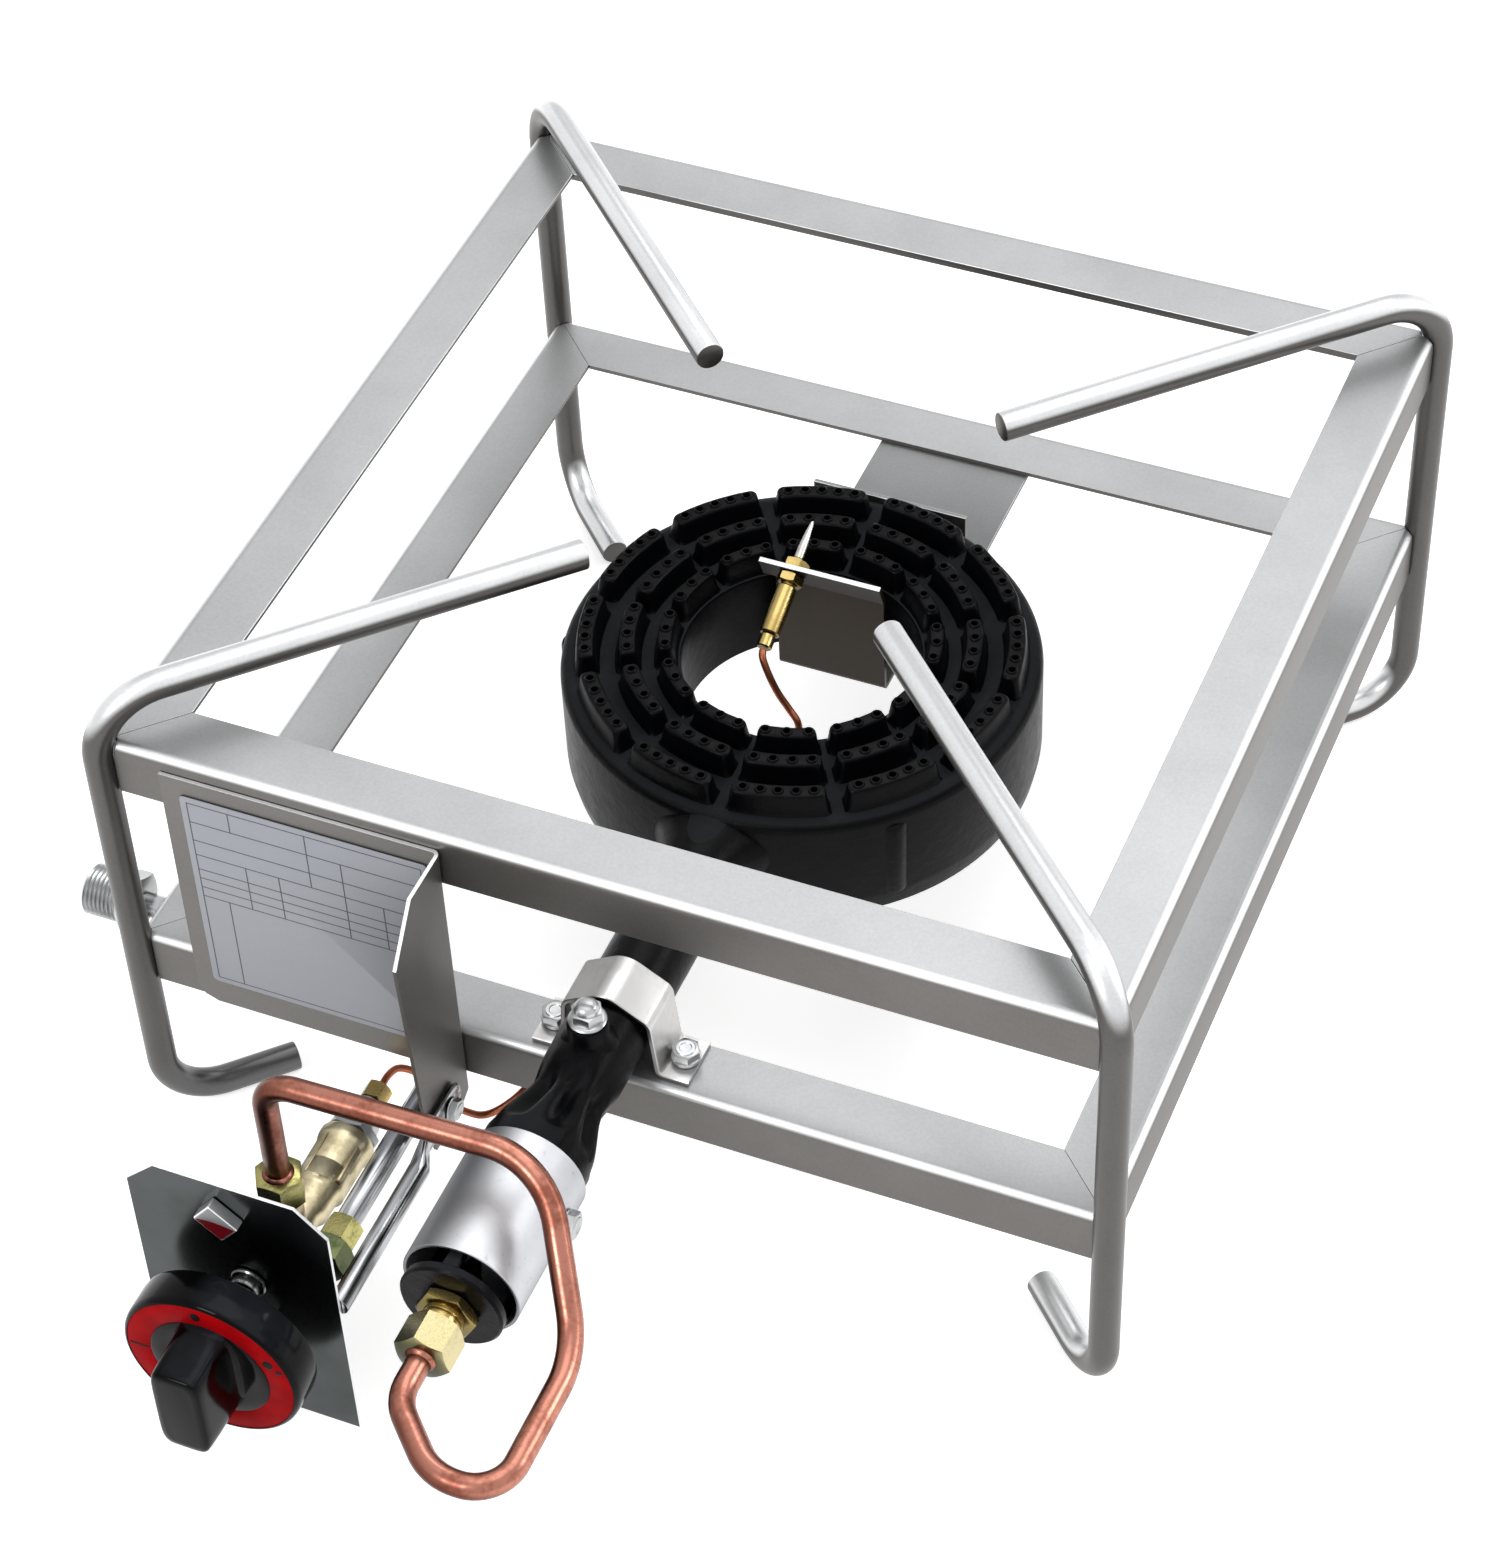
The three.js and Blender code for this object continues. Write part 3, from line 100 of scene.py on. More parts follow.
class Wire:
    """One output in a shader, ready for sums."""

    def __init__(self, shader, socket):
        self.shader = shader
        self.socket = socket

    def sum(self, operation, first, second=0.0):
        return self.shader.node("ShaderNodeMath", {"operation": operation}, {0: first, 1: second})

    def __add__(self, other):
        return self.sum("ADD", self, other)

    def __sub__(self, other):
        return self.sum("SUBTRACT", self, other)

    def __mul__(self, other):
        return self.sum("MULTIPLY", self, other)

    def __truediv__(self, other):
        return self.sum("DIVIDE", self, other)

    def __rsub__(self, other):
        return self.sum("SUBTRACT", other, self)

    def __rtruediv__(self, other):
        return self.sum("DIVIDE", other, self)

    def __lt__(self, other):
        return self.sum("LESS_THAN", self, other)

    def __gt__(self, other):
        return self.sum("GREATER_THAN", self, other)

    __radd__ = __add__
    __rmul__ = __mul__

    def between(self, low, high):
        """0 below low, 1 above high, and a smooth rise between."""
        settings = {"interpolation_type": "SMOOTHSTEP"}
        limits = {"From Min": low, "From Max": high, "Value": self}
        return self.shader.node("ShaderNodeMapRange", settings, limits)

    def size(self):
        """The value without its sign."""
        return self.sum("ABSOLUTE", self)

    def clipped(self):
        return self.sum("MINIMUM", self.sum("MAXIMUM", self, 0.0), 1.0)


print("a wire takes part in sums with + - * / < and >")

# %% [markdown]
# Every node comes from one method: it takes the node's type, the settings that change its sockets, then the
# numbers or wires of those sockets. A material is such a node tree with one surface shader. Colours go
# through Mix nodes, because a Math node would turn them grey. Each finish reads the place on the piece and
# the way the face looks, so it stays on the piece when that moves.

# %% Node trees and materials


class Shader:
    """A node tree, and the one method that adds nodes to it."""

    def __init__(self, tree):
        self.tree = tree

    def node(self, kind, settings=None, values=None, output=0):
        made = self.tree.nodes.new(kind)
        for name, value in (settings or {}).items():
            setattr(made, name, value)
        for name, value in (values or {}).items():
            self.give(made.inputs[name], value)
        return Wire(self, made.outputs[output])

    def give(self, socket, value):
        """Links a wire to a socket, or sets a number or colour on it."""
        if isinstance(value, Wire):
            self.tree.links.new(value.socket, socket)
        else:
            socket.default_value = value


class Paint(Shader):
    """A material and the sums that feed its one surface shader."""

    def __init__(self, name):
        self.material = bpy.data.materials.new(name)
        self.material.use_nodes = True
        super().__init__(self.material.node_tree)
        self.surface = self.tree.nodes["Principled BSDF"]
        self.place = self.node("ShaderNodeTexCoord", output="Object")
        self.facing = self.node("ShaderNodeTexCoord", output="Normal")

    def mix(self, first, second, share):
        """A colour between two colours."""
        colours = {6: wide(first), 7: wide(second), 0: share}
        return self.node("ShaderNodeMix", {"data_type": "RGBA"}, colours, 2)

    def darkened(self, colour, share):
        """A colour times a grey of this share."""
        tint = self.node("ShaderNodeCombineColor", None, {0: share, 1: share, 2: share})
        product = {"data_type": "RGBA", "blend_type": "MULTIPLY"}
        return self.node("ShaderNodeMix", product, {0: 1.0, 6: colour, 7: tint}, 2)

    def axis(self, wire, letter):
        return self.node("ShaderNodeSeparateXYZ", None, {0: wire}, letter)

    def looks(self, right, up):
        """How far a face looks to the right and up, in these shares."""
        return self.axis(self.facing, "X") * right + self.axis(self.facing, "Z") * up

    def stretched(self, x, y, z):
        """The place on the piece, drawn out or squeezed along each axis."""
        values = {0: self.place, 1: (x, y, z)}
        return self.node("ShaderNodeVectorMath", {"operation": "MULTIPLY"}, values)

    def noise(self, size, detail=3.0, where=None):
        """Soft mottling from 0 to 1 whose patches are about this many millimetres across."""
        values = {"Vector": where or self.place, "Scale": 1 / (size * MM), "Detail": detail}
        return self.node("ShaderNodeTexNoise", None, values, "Fac")

    def bump(self, height, depth):
        """A bump of this many millimetres where the height goes from 0 to 1."""
        self.feed("Normal", self.node("ShaderNodeBump", None, {"Height": height, "Distance": depth * MM}))

    def feed(self, socket, value):
        self.give(self.surface.inputs[socket], value)

    def plain(self, **values):
        """Numbers that are the same all over, set on the shader itself."""
        for name, value in values.items():
            self.feed(name.replace("_", " ").title().replace("Ior", "IOR"), value)
        return self


def wide(colour):
    """A colour as its socket takes it: a wire as it is, and three numbers with full alpha."""
    return colour if isinstance(colour, Wire) else (*colour, 1.0)


def grey(value, warmth=0.0):
    """A grey that leans to yellow where warmth is above 0, and to blue below."""
    return (value * (1 + warmth), value, value * (1 - warmth))


FINISH = {}
print("a slightly warm grey", grey(0.5, 0.05))

# %% [markdown]
# The frame is stainless steel with a fine blasted surface. Its colour carries painted light: pale on its tops,
# a painted highlight almost white along each fold, and painted shade, darker and warmer, on its upright sides
# and undersides. A brushed finish could be drawn as fine lines, but this grain is too fine to see as lines, so
# it is a soft mottling. The painted tone follows the way each face looks, and that alone brings out the folds:
# a face that slopes between the top and the side is the bent edge. One leg's tone darkens towards the floor.

# %% Satin steel
STEEL_METALLIC = 0.82
COOL = -0.012
FOOT_TOP = (0.014, 0.04)


def satin_steel(name, top, side, under, rough, warmth=0.05, fold_highlight=0.86, foot=None):
    """Painted tones of the lit tops, the shaded sides and undersides, and the highlighted folds, each from 0
    to 1.
    """
    paint = Paint(name)
    level = paint.axis(paint.facing, "Z")
    cloud = paint.noise(38, 2.0)
    fleck = paint.noise(1.1, 2.0)
    grain = paint.noise(0.35, 1.0)
    # Painted light: pale tops, and painted shade, darker and warmer, on the upright sides.
    upright = paint.mix(grey(side, warmth), grey(top, COOL), level.between(0.25, 0.95))
    # Painted shade on the undersides.
    tone = paint.mix(grey(under, 0.08), upright, level.between(-0.9, 0.1))
    # A painted highlight, almost white, along each fold.
    painted_fold_highlight = level.between(0.3, 0.6) * (1 - level.between(0.9, 0.99))
    tone = paint.mix(tone, grey(fold_highlight, COOL), painted_fold_highlight * 0.85)
    # The tone darkens towards the floor.
    if foot:
        tone = paint.mix(tone, grey(foot), 1 - paint.axis(paint.place, "Z").between(*FOOT_TOP))
    paint.feed("Base Color", paint.darkened(tone, 0.72 + cloud * 0.3 + fleck * 0.22))
    paint.feed("Roughness", rough + cloud * 0.08 + grain * 0.08)
    paint.bump(grain * 0.5 + fleck * 0.5, 0.02)
    return paint.plain(metallic=STEEL_METALLIC).material


FINISH["rail"] = satin_steel("satin_steel_rail", top=0.44, side=0.15, under=0.06, rough=0.35)
FINISH["rod"] = satin_steel("satin_steel_rod", top=0.6, side=0.1, under=0.03, rough=0.26)
# A rod whose tone darkens towards the floor.
FINISH["rod_darker_at_foot"] = satin_steel("rod_tone_darker_at_foot", top=0.6, side=0.1, under=0.03, rough=0.26, foot=0.13)
FINISH["plate"] = satin_steel("satin_steel_plate", top=0.3, side=0.165, under=0.06, rough=0.38)
# The label plate's up-facing edge carries a near-white painted highlight.
FINISH["label_plate"] = satin_steel("satin_steel_label_plate", top=0.85, side=0.165, under=0.06, rough=0.36)
# The bracket's warm tint is heat colour, and the very dark tone of its sides is painted shade.
FINISH["bracket"] = satin_steel(
    "heat_tinted_steel", top=0.62, side=0.034, under=0.03, rough=0.34, warmth=0.25
)
print("steel finishes", sorted(FINISH))

# %% [markdown]
# The burner is sand-cast iron under black heat paint. Dust settles on its flat plate between the lugs, so
# the channels are greyer than the lugs, and the skin is slightly lumpy all over. A low specular level keeps
# the black deep, as the paint is.

# %% Black casting
PLATE = 144.0
PLATE_BAND = (at(0, 0, PLATE - 2).z, at(0, 0, PLATE + 2.5).z)
IRON, IRON_DUST = (0.0016, 0.0018, 0.0026), (0.0165, 0.018, 0.021)


def black_casting():
    paint = Paint("black_cast_iron")
    level = paint.axis(paint.facing, "Z")
    height = paint.axis(paint.place, "Z")
    lump = paint.noise(5.5, 3.0)
    grit = paint.noise(0.9, 3.0)
    cloud = paint.noise(26, 2.0)
    plate = (height > PLATE_BAND[0]) * (height < PLATE_BAND[1])
    dust_and_sheen = plate * level.between(0.75, 0.98) * (0.5 + cloud * 0.7)
    paint.feed("Base Color", paint.mix(IRON, IRON_DUST, dust_and_sheen.clipped()))
    paint.feed("Roughness", (0.24 + lump * 0.2 + dust_and_sheen * 0.35).clipped())
    paint.bump(lump * 0.7 + grit * 0.3, 0.3)
    return paint.plain(metallic=0.0, specular_ior_level=0.09).material


FINISH["casting"] = black_casting()
print("dust lies between heights in mm", [round(height / MM, 1) for height in PLATE_BAND])

# %% [markdown]
# The small metal parts each have their own colour: yellow brass, olive passivated nuts, drawn copper with a
# brown bloom, bright zinc and a pale strap. Each could be a material of its own, but they differ only in
# colour, polish and how blotchy they are, so one function serves them all. Bright metal takes its darks from
# a dark room, and this studio is white all round, so the faces that look away from the lamps are given a
# painted shade: a darker tone of the same metal.

# %% Small metals
LAMP_RIGHT, LAMP_UP = 0.62, 0.75


def metal(name, colour, stain, rough, blotch=9.0, share=0.6, lump=0.05, shade=None):
    """A plated or cast metal, its stain in blotches this many millimetres wide, and the painted shade of its
    far side.
    """
    paint = Paint(name)
    cloud = paint.noise(blotch, 3.0)
    speck = paint.noise(blotch / 7, 2.0)
    mask = (cloud * 0.7 + speck * 0.3).between(0.42, 0.68) * share
    tone = paint.mix(colour, stain, mask)
    if shade:
        # Painted shade on the faces that look away from the lamps.
        tone = paint.mix(shade, tone, paint.looks(LAMP_RIGHT, LAMP_UP).between(-0.1, 0.85))
    paint.feed("Base Color", tone)
    paint.feed("Roughness", rough + cloud * 0.1 + mask * 0.12)
    paint.bump(speck * 0.6 + cloud * 0.4, lump)
    return paint.plain(metallic=1.0).material


FINISH["brass"] = metal(
    "yellow_brass", (0.56, 0.42, 0.16), (0.3, 0.2, 0.06), rough=0.17, share=0.45, shade=(0.13, 0.1, 0.03)
)
FINISH["nut"] = metal(
    "bright_olive_brass", (0.66, 0.58, 0.32), (0.36, 0.3, 0.12), rough=0.15, blotch=8, share=0.4,
    shade=(0.03, 0.03, 0.012),
)
FINISH["olive"] = metal(
    "olive_passivate", (0.42, 0.38, 0.15), (0.1, 0.12, 0.04), rough=0.15, blotch=8, share=0.75,
    shade=(0.035, 0.042, 0.014),
)
FINISH["dark_olive"] = metal(
    "dark_olive_passivate", (0.1, 0.115, 0.055), (0.05, 0.07, 0.03), rough=0.14, blotch=8, share=0.8,
    shade=(0.03, 0.03, 0.012),
)
FINISH["tap"] = metal(
    "cast_tap_brass", (0.74, 0.65, 0.43), (0.42, 0.34, 0.18), rough=0.28, blotch=11, share=0.7, lump=0.12,
    shade=(0.1, 0.08, 0.035),
)
FINISH["copper"] = metal(
    "drawn_copper", (0.49, 0.205, 0.15), (0.21, 0.066, 0.04), rough=0.22, blotch=14, share=0.85, lump=0.015,
    shade=(0.085, 0.02, 0.01),
)
FINISH["lead"] = metal("capillary_copper", (0.4, 0.13, 0.065), (0.2, 0.06, 0.03), rough=0.3, blotch=8)
FINISH["zinc"] = metal(
    "bright_zinc", (0.52, 0.535, 0.54), (0.4, 0.41, 0.4), rough=0.27, blotch=6, share=0.3, lump=0.01
)
FINISH["strap"] = metal(
    "rolled_strap", (0.62, 0.615, 0.61), (0.46, 0.45, 0.44), rough=0.3, blotch=20, shade=(0.2, 0.195, 0.19)
)
FINISH["pointer"] = metal(
    "bright_pointer_chrome", (0.8, 0.81, 0.83), (0.7, 0.71, 0.73), rough=0.24, blotch=8, share=0.3, lump=0.005
)
FINISH["pointer_face"] = metal(
    "brushed_pointer_face", (0.3, 0.3, 0.31), (0.2, 0.2, 0.21), rough=0.3, blotch=8, share=0.5, lump=0.005
)
# The screw's near-black blotches are painted dark reflections on its chrome.
FINISH["screw"] = metal(
    "chrome_screw_painted_dark", (0.3, 0.31, 0.31), (0.04, 0.045, 0.04), rough=0.12, blotch=5, share=0.95, lump=0.03,
    shade=(0.03, 0.034, 0.03),
)
FINISH["nickel"] = metal("pale_nickel", (0.62, 0.61, 0.58), (0.45, 0.43, 0.38), rough=0.22, blotch=4)
print("finishes so far", len(FINISH))

# %% [markdown]
# The air sleeve is a turned tube. A lathe leaves rings round it, which could be cut as real grooves, but they
# are so fine that they only spread the highlight along the axis. So the noise is squeezed along the sleeve's
# length, drawn out across it, and used for gloss and a very low bump. A painted highlight makes the upper
# right of the tube its bright side, with painted shade towards the lower left, and a few scuffs break it up.

# %% Turned aluminium
ALUMINIUM_PAINTED_HIGHLIGHT, ALUMINIUM_PAINTED_SHADE, ALUMINIUM_WORN = (0.76, 0.77, 0.8), (0.2, 0.205, 0.215), (0.24, 0.25, 0.27)


def turned_aluminium():
    paint = Paint("turned_aluminium")
    rings = paint.noise(1.0, 2.0, paint.stretched(0.02, 6.0, 0.02))
    cloud = paint.noise(12, 3.0)
    scuff = paint.noise(2.4, 4.0).between(0.6, 0.75)
    worn = (cloud * 0.5 + scuff * 0.4).clipped()
    # A painted highlight on the upper right and painted shade on the lower left.
    lit = paint.looks(0.68, 0.73)
    painted_light_tone = paint.mix(ALUMINIUM_PAINTED_SHADE, ALUMINIUM_PAINTED_HIGHLIGHT, lit.between(0.2, 1.0))
    paint.feed("Base Color", paint.mix(painted_light_tone, ALUMINIUM_WORN, worn * 0.5))
    paint.feed("Roughness", 0.36 + rings * 0.14 + cloud * 0.08)
    paint.bump(rings, 0.025)
    return paint.plain(metallic=1.0).material


FINISH["sleeve"] = turned_aluminium()
print("sleeve's finish has nodes", len(FINISH["sleeve"].node_tree.nodes))

# %% [markdown]
# The gas pipe and the strut are bright chrome. A chromed tube mirrors its surroundings as long streaks, and
# in a white studio there is nothing dark to mirror. So the dark streaks are painted reflections: a mottling
# drawn out along the tubes, which run from front to back.

# %% Streaked chrome
CHROME_BRIGHT, CHROME_DARK = (0.5, 0.51, 0.53), (0.07, 0.075, 0.07)


def streaked_chrome():
    paint = Paint("streaked_chrome")
    streak = paint.noise(5.0, 2.0, paint.stretched(1.0, 0.1, 1.0)).between(0.44, 0.6)
    cloud = paint.noise(9, 3.0)
    # The dark streaks are painted reflections.
    paint.feed("Base Color", paint.mix(CHROME_BRIGHT, CHROME_DARK, streak * (0.6 + cloud * 0.5)))
    paint.feed("Roughness", 0.13 + cloud * 0.08)
    paint.bump(cloud, 0.015)
    return paint.plain(metallic=1.0).material


FINISH["chrome"] = streaked_chrome()
print("chrome's finish has nodes", len(FINISH["chrome"].node_tree.nodes))

# %% [markdown]
# The control panel is thin sheet with a dark passivated skin. It was sheared to shape after it was plated, so
# its edges are bare and bright, and that line is what sets it off from the black behind it. The faces look to
# the front and back and the cut edges don't, so the direction of a face tells one from the other.

# %% Dark panel
PANEL_SKIN, PANEL_STAIN, PANEL_CUT = (0.06, 0.066, 0.068), (0.034, 0.042, 0.036), (0.78, 0.79, 0.8)


def dark_panel():
    paint = Paint("dark_zinc_panel")
    cloud = paint.noise(30, 3.0)
    grain = paint.noise(0.5, 1.0)
    facing = paint.axis(paint.facing, "Y")
    sheared = 1 - (facing * facing).between(0.35, 0.75)
    face = paint.mix(PANEL_SKIN, PANEL_STAIN, cloud.between(0.35, 0.7))
    paint.feed("Base Color", paint.mix(face, PANEL_CUT, sheared))
    paint.feed("Roughness", 0.18 + cloud * 0.06 + sheared * 0.15)
    paint.bump(grain, 0.002)
    return paint.plain(metallic=1.0).material


FINISH["panel"] = dark_panel()
print("panel's finish has nodes", len(FINISH["panel"].node_tree.nodes))

# %% [markdown]
# The knob is a gloss black moulding with a red ring let into its face. Handling leaves faint smears on such a
# surface, which show as small changes of gloss, and a painted sheen, light grey, lies on what looks up and to
# the right. A low specular level keeps the black and the red deep in a white room. The print of the dial and
# the enamel of the pointer are the same kind of surface in other colours.

# %% Knob plastics and the enamel of the pointer


def moulding(name, colour, second, rough, smear=7.0, shine=0.5, dust_and_sheen=None):
    """A smooth plastic or enamel in two close colours, with a painted sheen of a given colour on what looks up
    and right.
    """
    paint = Paint(name)
    cloud = paint.noise(smear, 3.0)
    speck = paint.noise(0.5, 1.0)
    tone = paint.mix(colour, second, cloud.between(0.35, 0.75))
    if dust_and_sheen:
        # Painted sheen on the faces that look up and to the right.
        painted_sheen = paint.looks(0.5, 0.86).between(0.72, 1.0)
        tone = paint.mix(tone, dust_and_sheen, painted_sheen * (0.5 + cloud * 0.8))
    paint.feed("Base Color", tone)
    paint.feed("Roughness", rough + cloud * 0.08)
    paint.bump(cloud * 0.6 + speck * 0.4, 0.02)
    return paint.plain(metallic=0.0, specular_ior_level=shine).material


# The knob's light grey on what looks up is a painted sheen.
FINISH["knob"] = moulding(
    "gloss_black_moulding", (0.0012, 0.0012, 0.0015), (0.002, 0.002, 0.0026), rough=0.08, shine=0.08,
    dust_and_sheen=(0.02, 0.022, 0.028),
)
FINISH["red"] = moulding(
    "red_dial_print", (0.52, 0.003, 0.006), (0.4, 0.002, 0.005), rough=0.4, smear=9, shine=0.03
)
FINISH["mark"] = moulding("black_dial_print", (0.004, 0.003, 0.003), (0.008, 0.006, 0.006), 0.5, shine=0.1)
FINISH["enamel"] = moulding(
    "dark_red_enamel", (0.15, 0.004, 0.008), (0.1, 0.003, 0.006), rough=0.12, smear=5, shine=0.3
)
print("finishes so far", len(FINISH))

# %% [markdown]
# Most pieces here are a mesh made in code. A mesh becomes a piece in two moves. First it gets its finish, and
# is shaded smooth except at its real edges. Then it rides on the body that carries it, so that it moves with
# that body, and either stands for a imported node, which it hides, or is an extra beside the nodes.

# %% From a mesh to a piece


def finished(name, mesh, finish, sharp=35.0):
    """Turns a bmesh into an object with its finish, smooth except at real edges."""
    bmesh.ops.recalc_face_normals(mesh, faces=mesh.faces[:])
    data = bpy.data.meshes.new(name)
    mesh.to_mesh(data)
    mesh.free()
    data.shade_smooth()
    data.set_sharp_from_angle(angle=math.radians(sharp))
    data.materials.append(FINISH[finish])
    made = bpy.data.objects.new(name, data)
    bpy.context.scene.collection.objects.link(made)
    return made


def stands_for(made, node):
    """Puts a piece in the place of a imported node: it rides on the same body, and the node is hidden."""
    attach(made, BODY_OF[node])
    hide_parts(node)
    return made


def extra(made, body):
    """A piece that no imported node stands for."""
    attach(made, body)
    return made


print("bodies to ride on", sorted(set(BODY_OF.values())))

# %% [markdown]
# The rails are strips of sheet folded to an angle and mitred at the corners. They could be drawn again, but
# their shape is right already, so each keeps it and only has its cut edges broken by a fraction of a
# millimetre, which is what gives thin sheet its bright outline. The triangles of its flat faces are joined
# first, so that a bevel finds only the real edges. The other sheet pieces are treated the same way, and so
# is the plug that turns inside the tap, which hardly shows.

# %% Sheet pieces
SAME_POINT = 0.002
FLAT_ENOUGH, REAL_EDGE = math.radians(0.8), math.radians(40)


def softened(node, finish, edge=0.4, sharp=35.0):
    """A node's own shape with its edges broken, as a real edge is."""
    mesh = bmesh.new()
    mesh.from_mesh(NODES[node].data)
    bmesh.ops.remove_doubles(mesh, verts=mesh.verts[:], dist=SAME_POINT * MM)
    bmesh.ops.dissolve_limit(mesh, angle_limit=FLAT_ENOUGH, verts=mesh.verts[:], edges=mesh.edges[:])
    made = finished(node + "_finished", mesh, finish, sharp)
    bevel = made.modifiers.new("broken_edge", "BEVEL")
    bevel.width = edge * MM
    bevel.segments = 2
    bevel.limit_method = "ANGLE"
    bevel.angle_limit = REAL_EDGE
    bevel.harden_normals = True
    return stands_for(made, node)


for side in ("front", "right", "rear", "left"):
    for ring in ("upper", "lower"):
        softened(f"{ring}_rail_{side}", "rail")
softened("data_plate", "label_plate", 0.35)
softened("rear_bracket", "plate", 0.4)
softened("thermocouple_bracket", "bracket", 0.4)
softened("control_panel", "panel", 0.3)
softened("panel_strut", "chrome", 0.3)
softened("tap_plug", "brass", 0.3)
kept_shapes = [made.name for made in bpy.data.objects if made.name.endswith("_finished")]
print("pieces that keep their packed shape", len(kept_shapes))

# %% [markdown]
# Rods, tubes and wires are one round section carried along a route. Blender can do that with a curve and a
# bevel, but rings of points of our own leave every end and bend under control. A route is drawn as straight
# runs with its corners bent to a radius, as a pipe bender would read it, and the rings along it are skinned
# into one closed body.

# %% Bars along a route


def skin(mesh, rings, closed=False):
    """Joins rings of equal count. The ends are capped, or joined to each other where closed."""
    made = [[mesh.verts.new(point) for point in ring] for ring in rings]
    count = len(made[0])
    pairs = list(zip(made, made[1:])) + ([(made[-1], made[0])] if closed else [])
    for first, second in pairs:
        for i in range(count):
            j = (i + 1) % count
            mesh.faces.new((first[i], first[j], second[j], second[i]))
    if not closed:
        mesh.faces.new(list(reversed(made[0])))
        mesh.faces.new(made[-1])
    return made


def rounded_route(corners, radii, steps=12):
    """Points along straight runs whose corners are bent to these radii, in metres."""
    route = [corners[0]]
    for before, corner, after, radius in zip(corners, corners[1:], corners[2:], radii):
        toward, away = (before - corner).normalized(), (after - corner).normalized()
        inside = toward.angle(away)
        centre = corner + (toward + away).normalized() * (radius * MM / math.sin(inside / 2))
        reach = radius * MM / math.tan(inside / 2)
        start, end = corner + toward * reach - centre, corner + away * reach - centre
        axis, sweep = start.cross(end).normalized(), start.angle(end)
        route += [centre + Matrix.Rotation(sweep * s / steps, 3, axis) @ start for s in range(steps + 1)]
    return route + [corners[-1]]


def swept(mesh, route, radius, sides=24, edge=0.6):
    """A round bar along a route, with its two ends slightly rounded off."""
    tangents = []
    for i in range(len(route)):
        before, after = route[max(i - 1, 0)], route[min(i + 1, len(route) - 1)]
        tangents.append((after - before).normalized())
    side = tangents[0].orthogonal().normalized()
    rings = []
    for i, (point, tangent) in enumerate(zip(route, tangents)):
        side = (side - tangent * side.dot(tangent)).normalized()
        up = tangent.cross(side)
        angles = [2 * math.pi * k / sides for k in range(sides)]
        stops = [(0.0, radius)]
        if i == 0:
            stops = [(0.0, radius - edge), (0.3 * edge, radius - 0.3 * edge), (edge, radius)]
        if i == len(route) - 1:
            stops = [(-edge, radius), (-0.3 * edge, radius - 0.3 * edge), (0.0, radius - edge)]
        for along, reach in stops:
            centre = point + tangent * along * MM
            rings.append([centre + (side * math.cos(a) + up * math.sin(a)) * reach * MM for a in angles])
    skin(mesh, rings)


corner_test = rounded_route([at(0, 0, 0), at(100, 0, 0), at(100, 100, 0)], [10])
print("points on a route with one bend", len(corner_test))

# %% [markdown]
# Each leg is one length of rod: a level arm that carries the pot, a bend, an upright, and a foot turned in.
# Three cylinders would leave mitres where the rod is bent. It lies in the frame's diagonal plane, so it is
# drawn there as a route with two rounded corners, which keeps the bends truly round.

# %% Legs
ROD = 6.0
LEG_SIDES = 36
LEG_AXIS = (HALF + 0.5) * math.sqrt(2)
ARM_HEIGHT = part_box("leg_front_left")[1].z / MM - ROD
ARM_END, FOOT_END = 87.5, 230.0
TOP_BEND, FOOT_BEND = 28.0, 25.0


def leg(corner, sx, sy):
    def along(radius, height):
        return at(sx * radius / math.sqrt(2), sy * radius / math.sqrt(2), height)

    arm = [along(ARM_END, ARM_HEIGHT), along(LEG_AXIS, ARM_HEIGHT)]
    foot = [along(LEG_AXIS, ROD), along(FOOT_END, ROD)]
    mesh = bmesh.new()
    swept(mesh, rounded_route(arm + foot, [TOP_BEND, FOOT_BEND], 16), ROD, LEG_SIDES, 0.8)
    # The front left leg's tone darkens towards the floor.
    finish = "rod_darker_at_foot" if corner == "front_left" else "rod"
    return stands_for(finished(f"rod_leg_{corner}", mesh, finish), f"leg_{corner}")


LEGS = {"front_left": (-1, -1), "front_right": (1, -1), "rear_right": (1, 1), "rear_left": (-1, 1)}
for corner, (sx, sy) in LEGS.items():
    leg(corner, sx, sy)
print("legs", len(LEGS), "arm height in mm", round(ARM_HEIGHT, 2))

# %% [markdown]
# The burner is one casting: a ring-shaped plate with its wall, three rings of twelve lugs on it, and the
# venturi that feeds it. It is laid out in polar places, as its pattern was: each row of lugs has an inner and
# an outer edge, given as shares of the plate's width, half the angle of a lug, and the number of its ports.

# %% Burner sizes
BURNER, HOLE = 97.5, 48.5
FLOOR, SKIRT = 104.0, 91.5
SECTORS = 12
LUG_TURN = 1.2
LUG_ROWS = ((0.069, 0.182, 11.9, 3), (0.369, 0.504, 12.4, 4), (0.714, 0.851, 12.1, 5))
PORT, PORT_SPREAD = 1.4, 0.76


def row_edges(row):
    width = BURNER - HOLE
    return HOLE + row[0] * width, HOLE + row[1] * width


def sector_angles():
    return [(i + 0.5) * 360 / SECTORS + LUG_TURN for i in range(SECTORS)]


for row in LUG_ROWS:
    print("lugs from", round(row_edges(row)[0], 1), "to", round(row_edges(row)[1], 1), "mm, ports", row[3])

# %% [markdown]
# A lug is cast with drafted sides, a hollow fillet at its foot and a rounded crest. A bevelled block would
# keep its straight walls, so the lug is skinned from outlines that shrink as they rise: each level says how
# far the outline stands out and how high it is. The outline is a piece of ring with round corners.

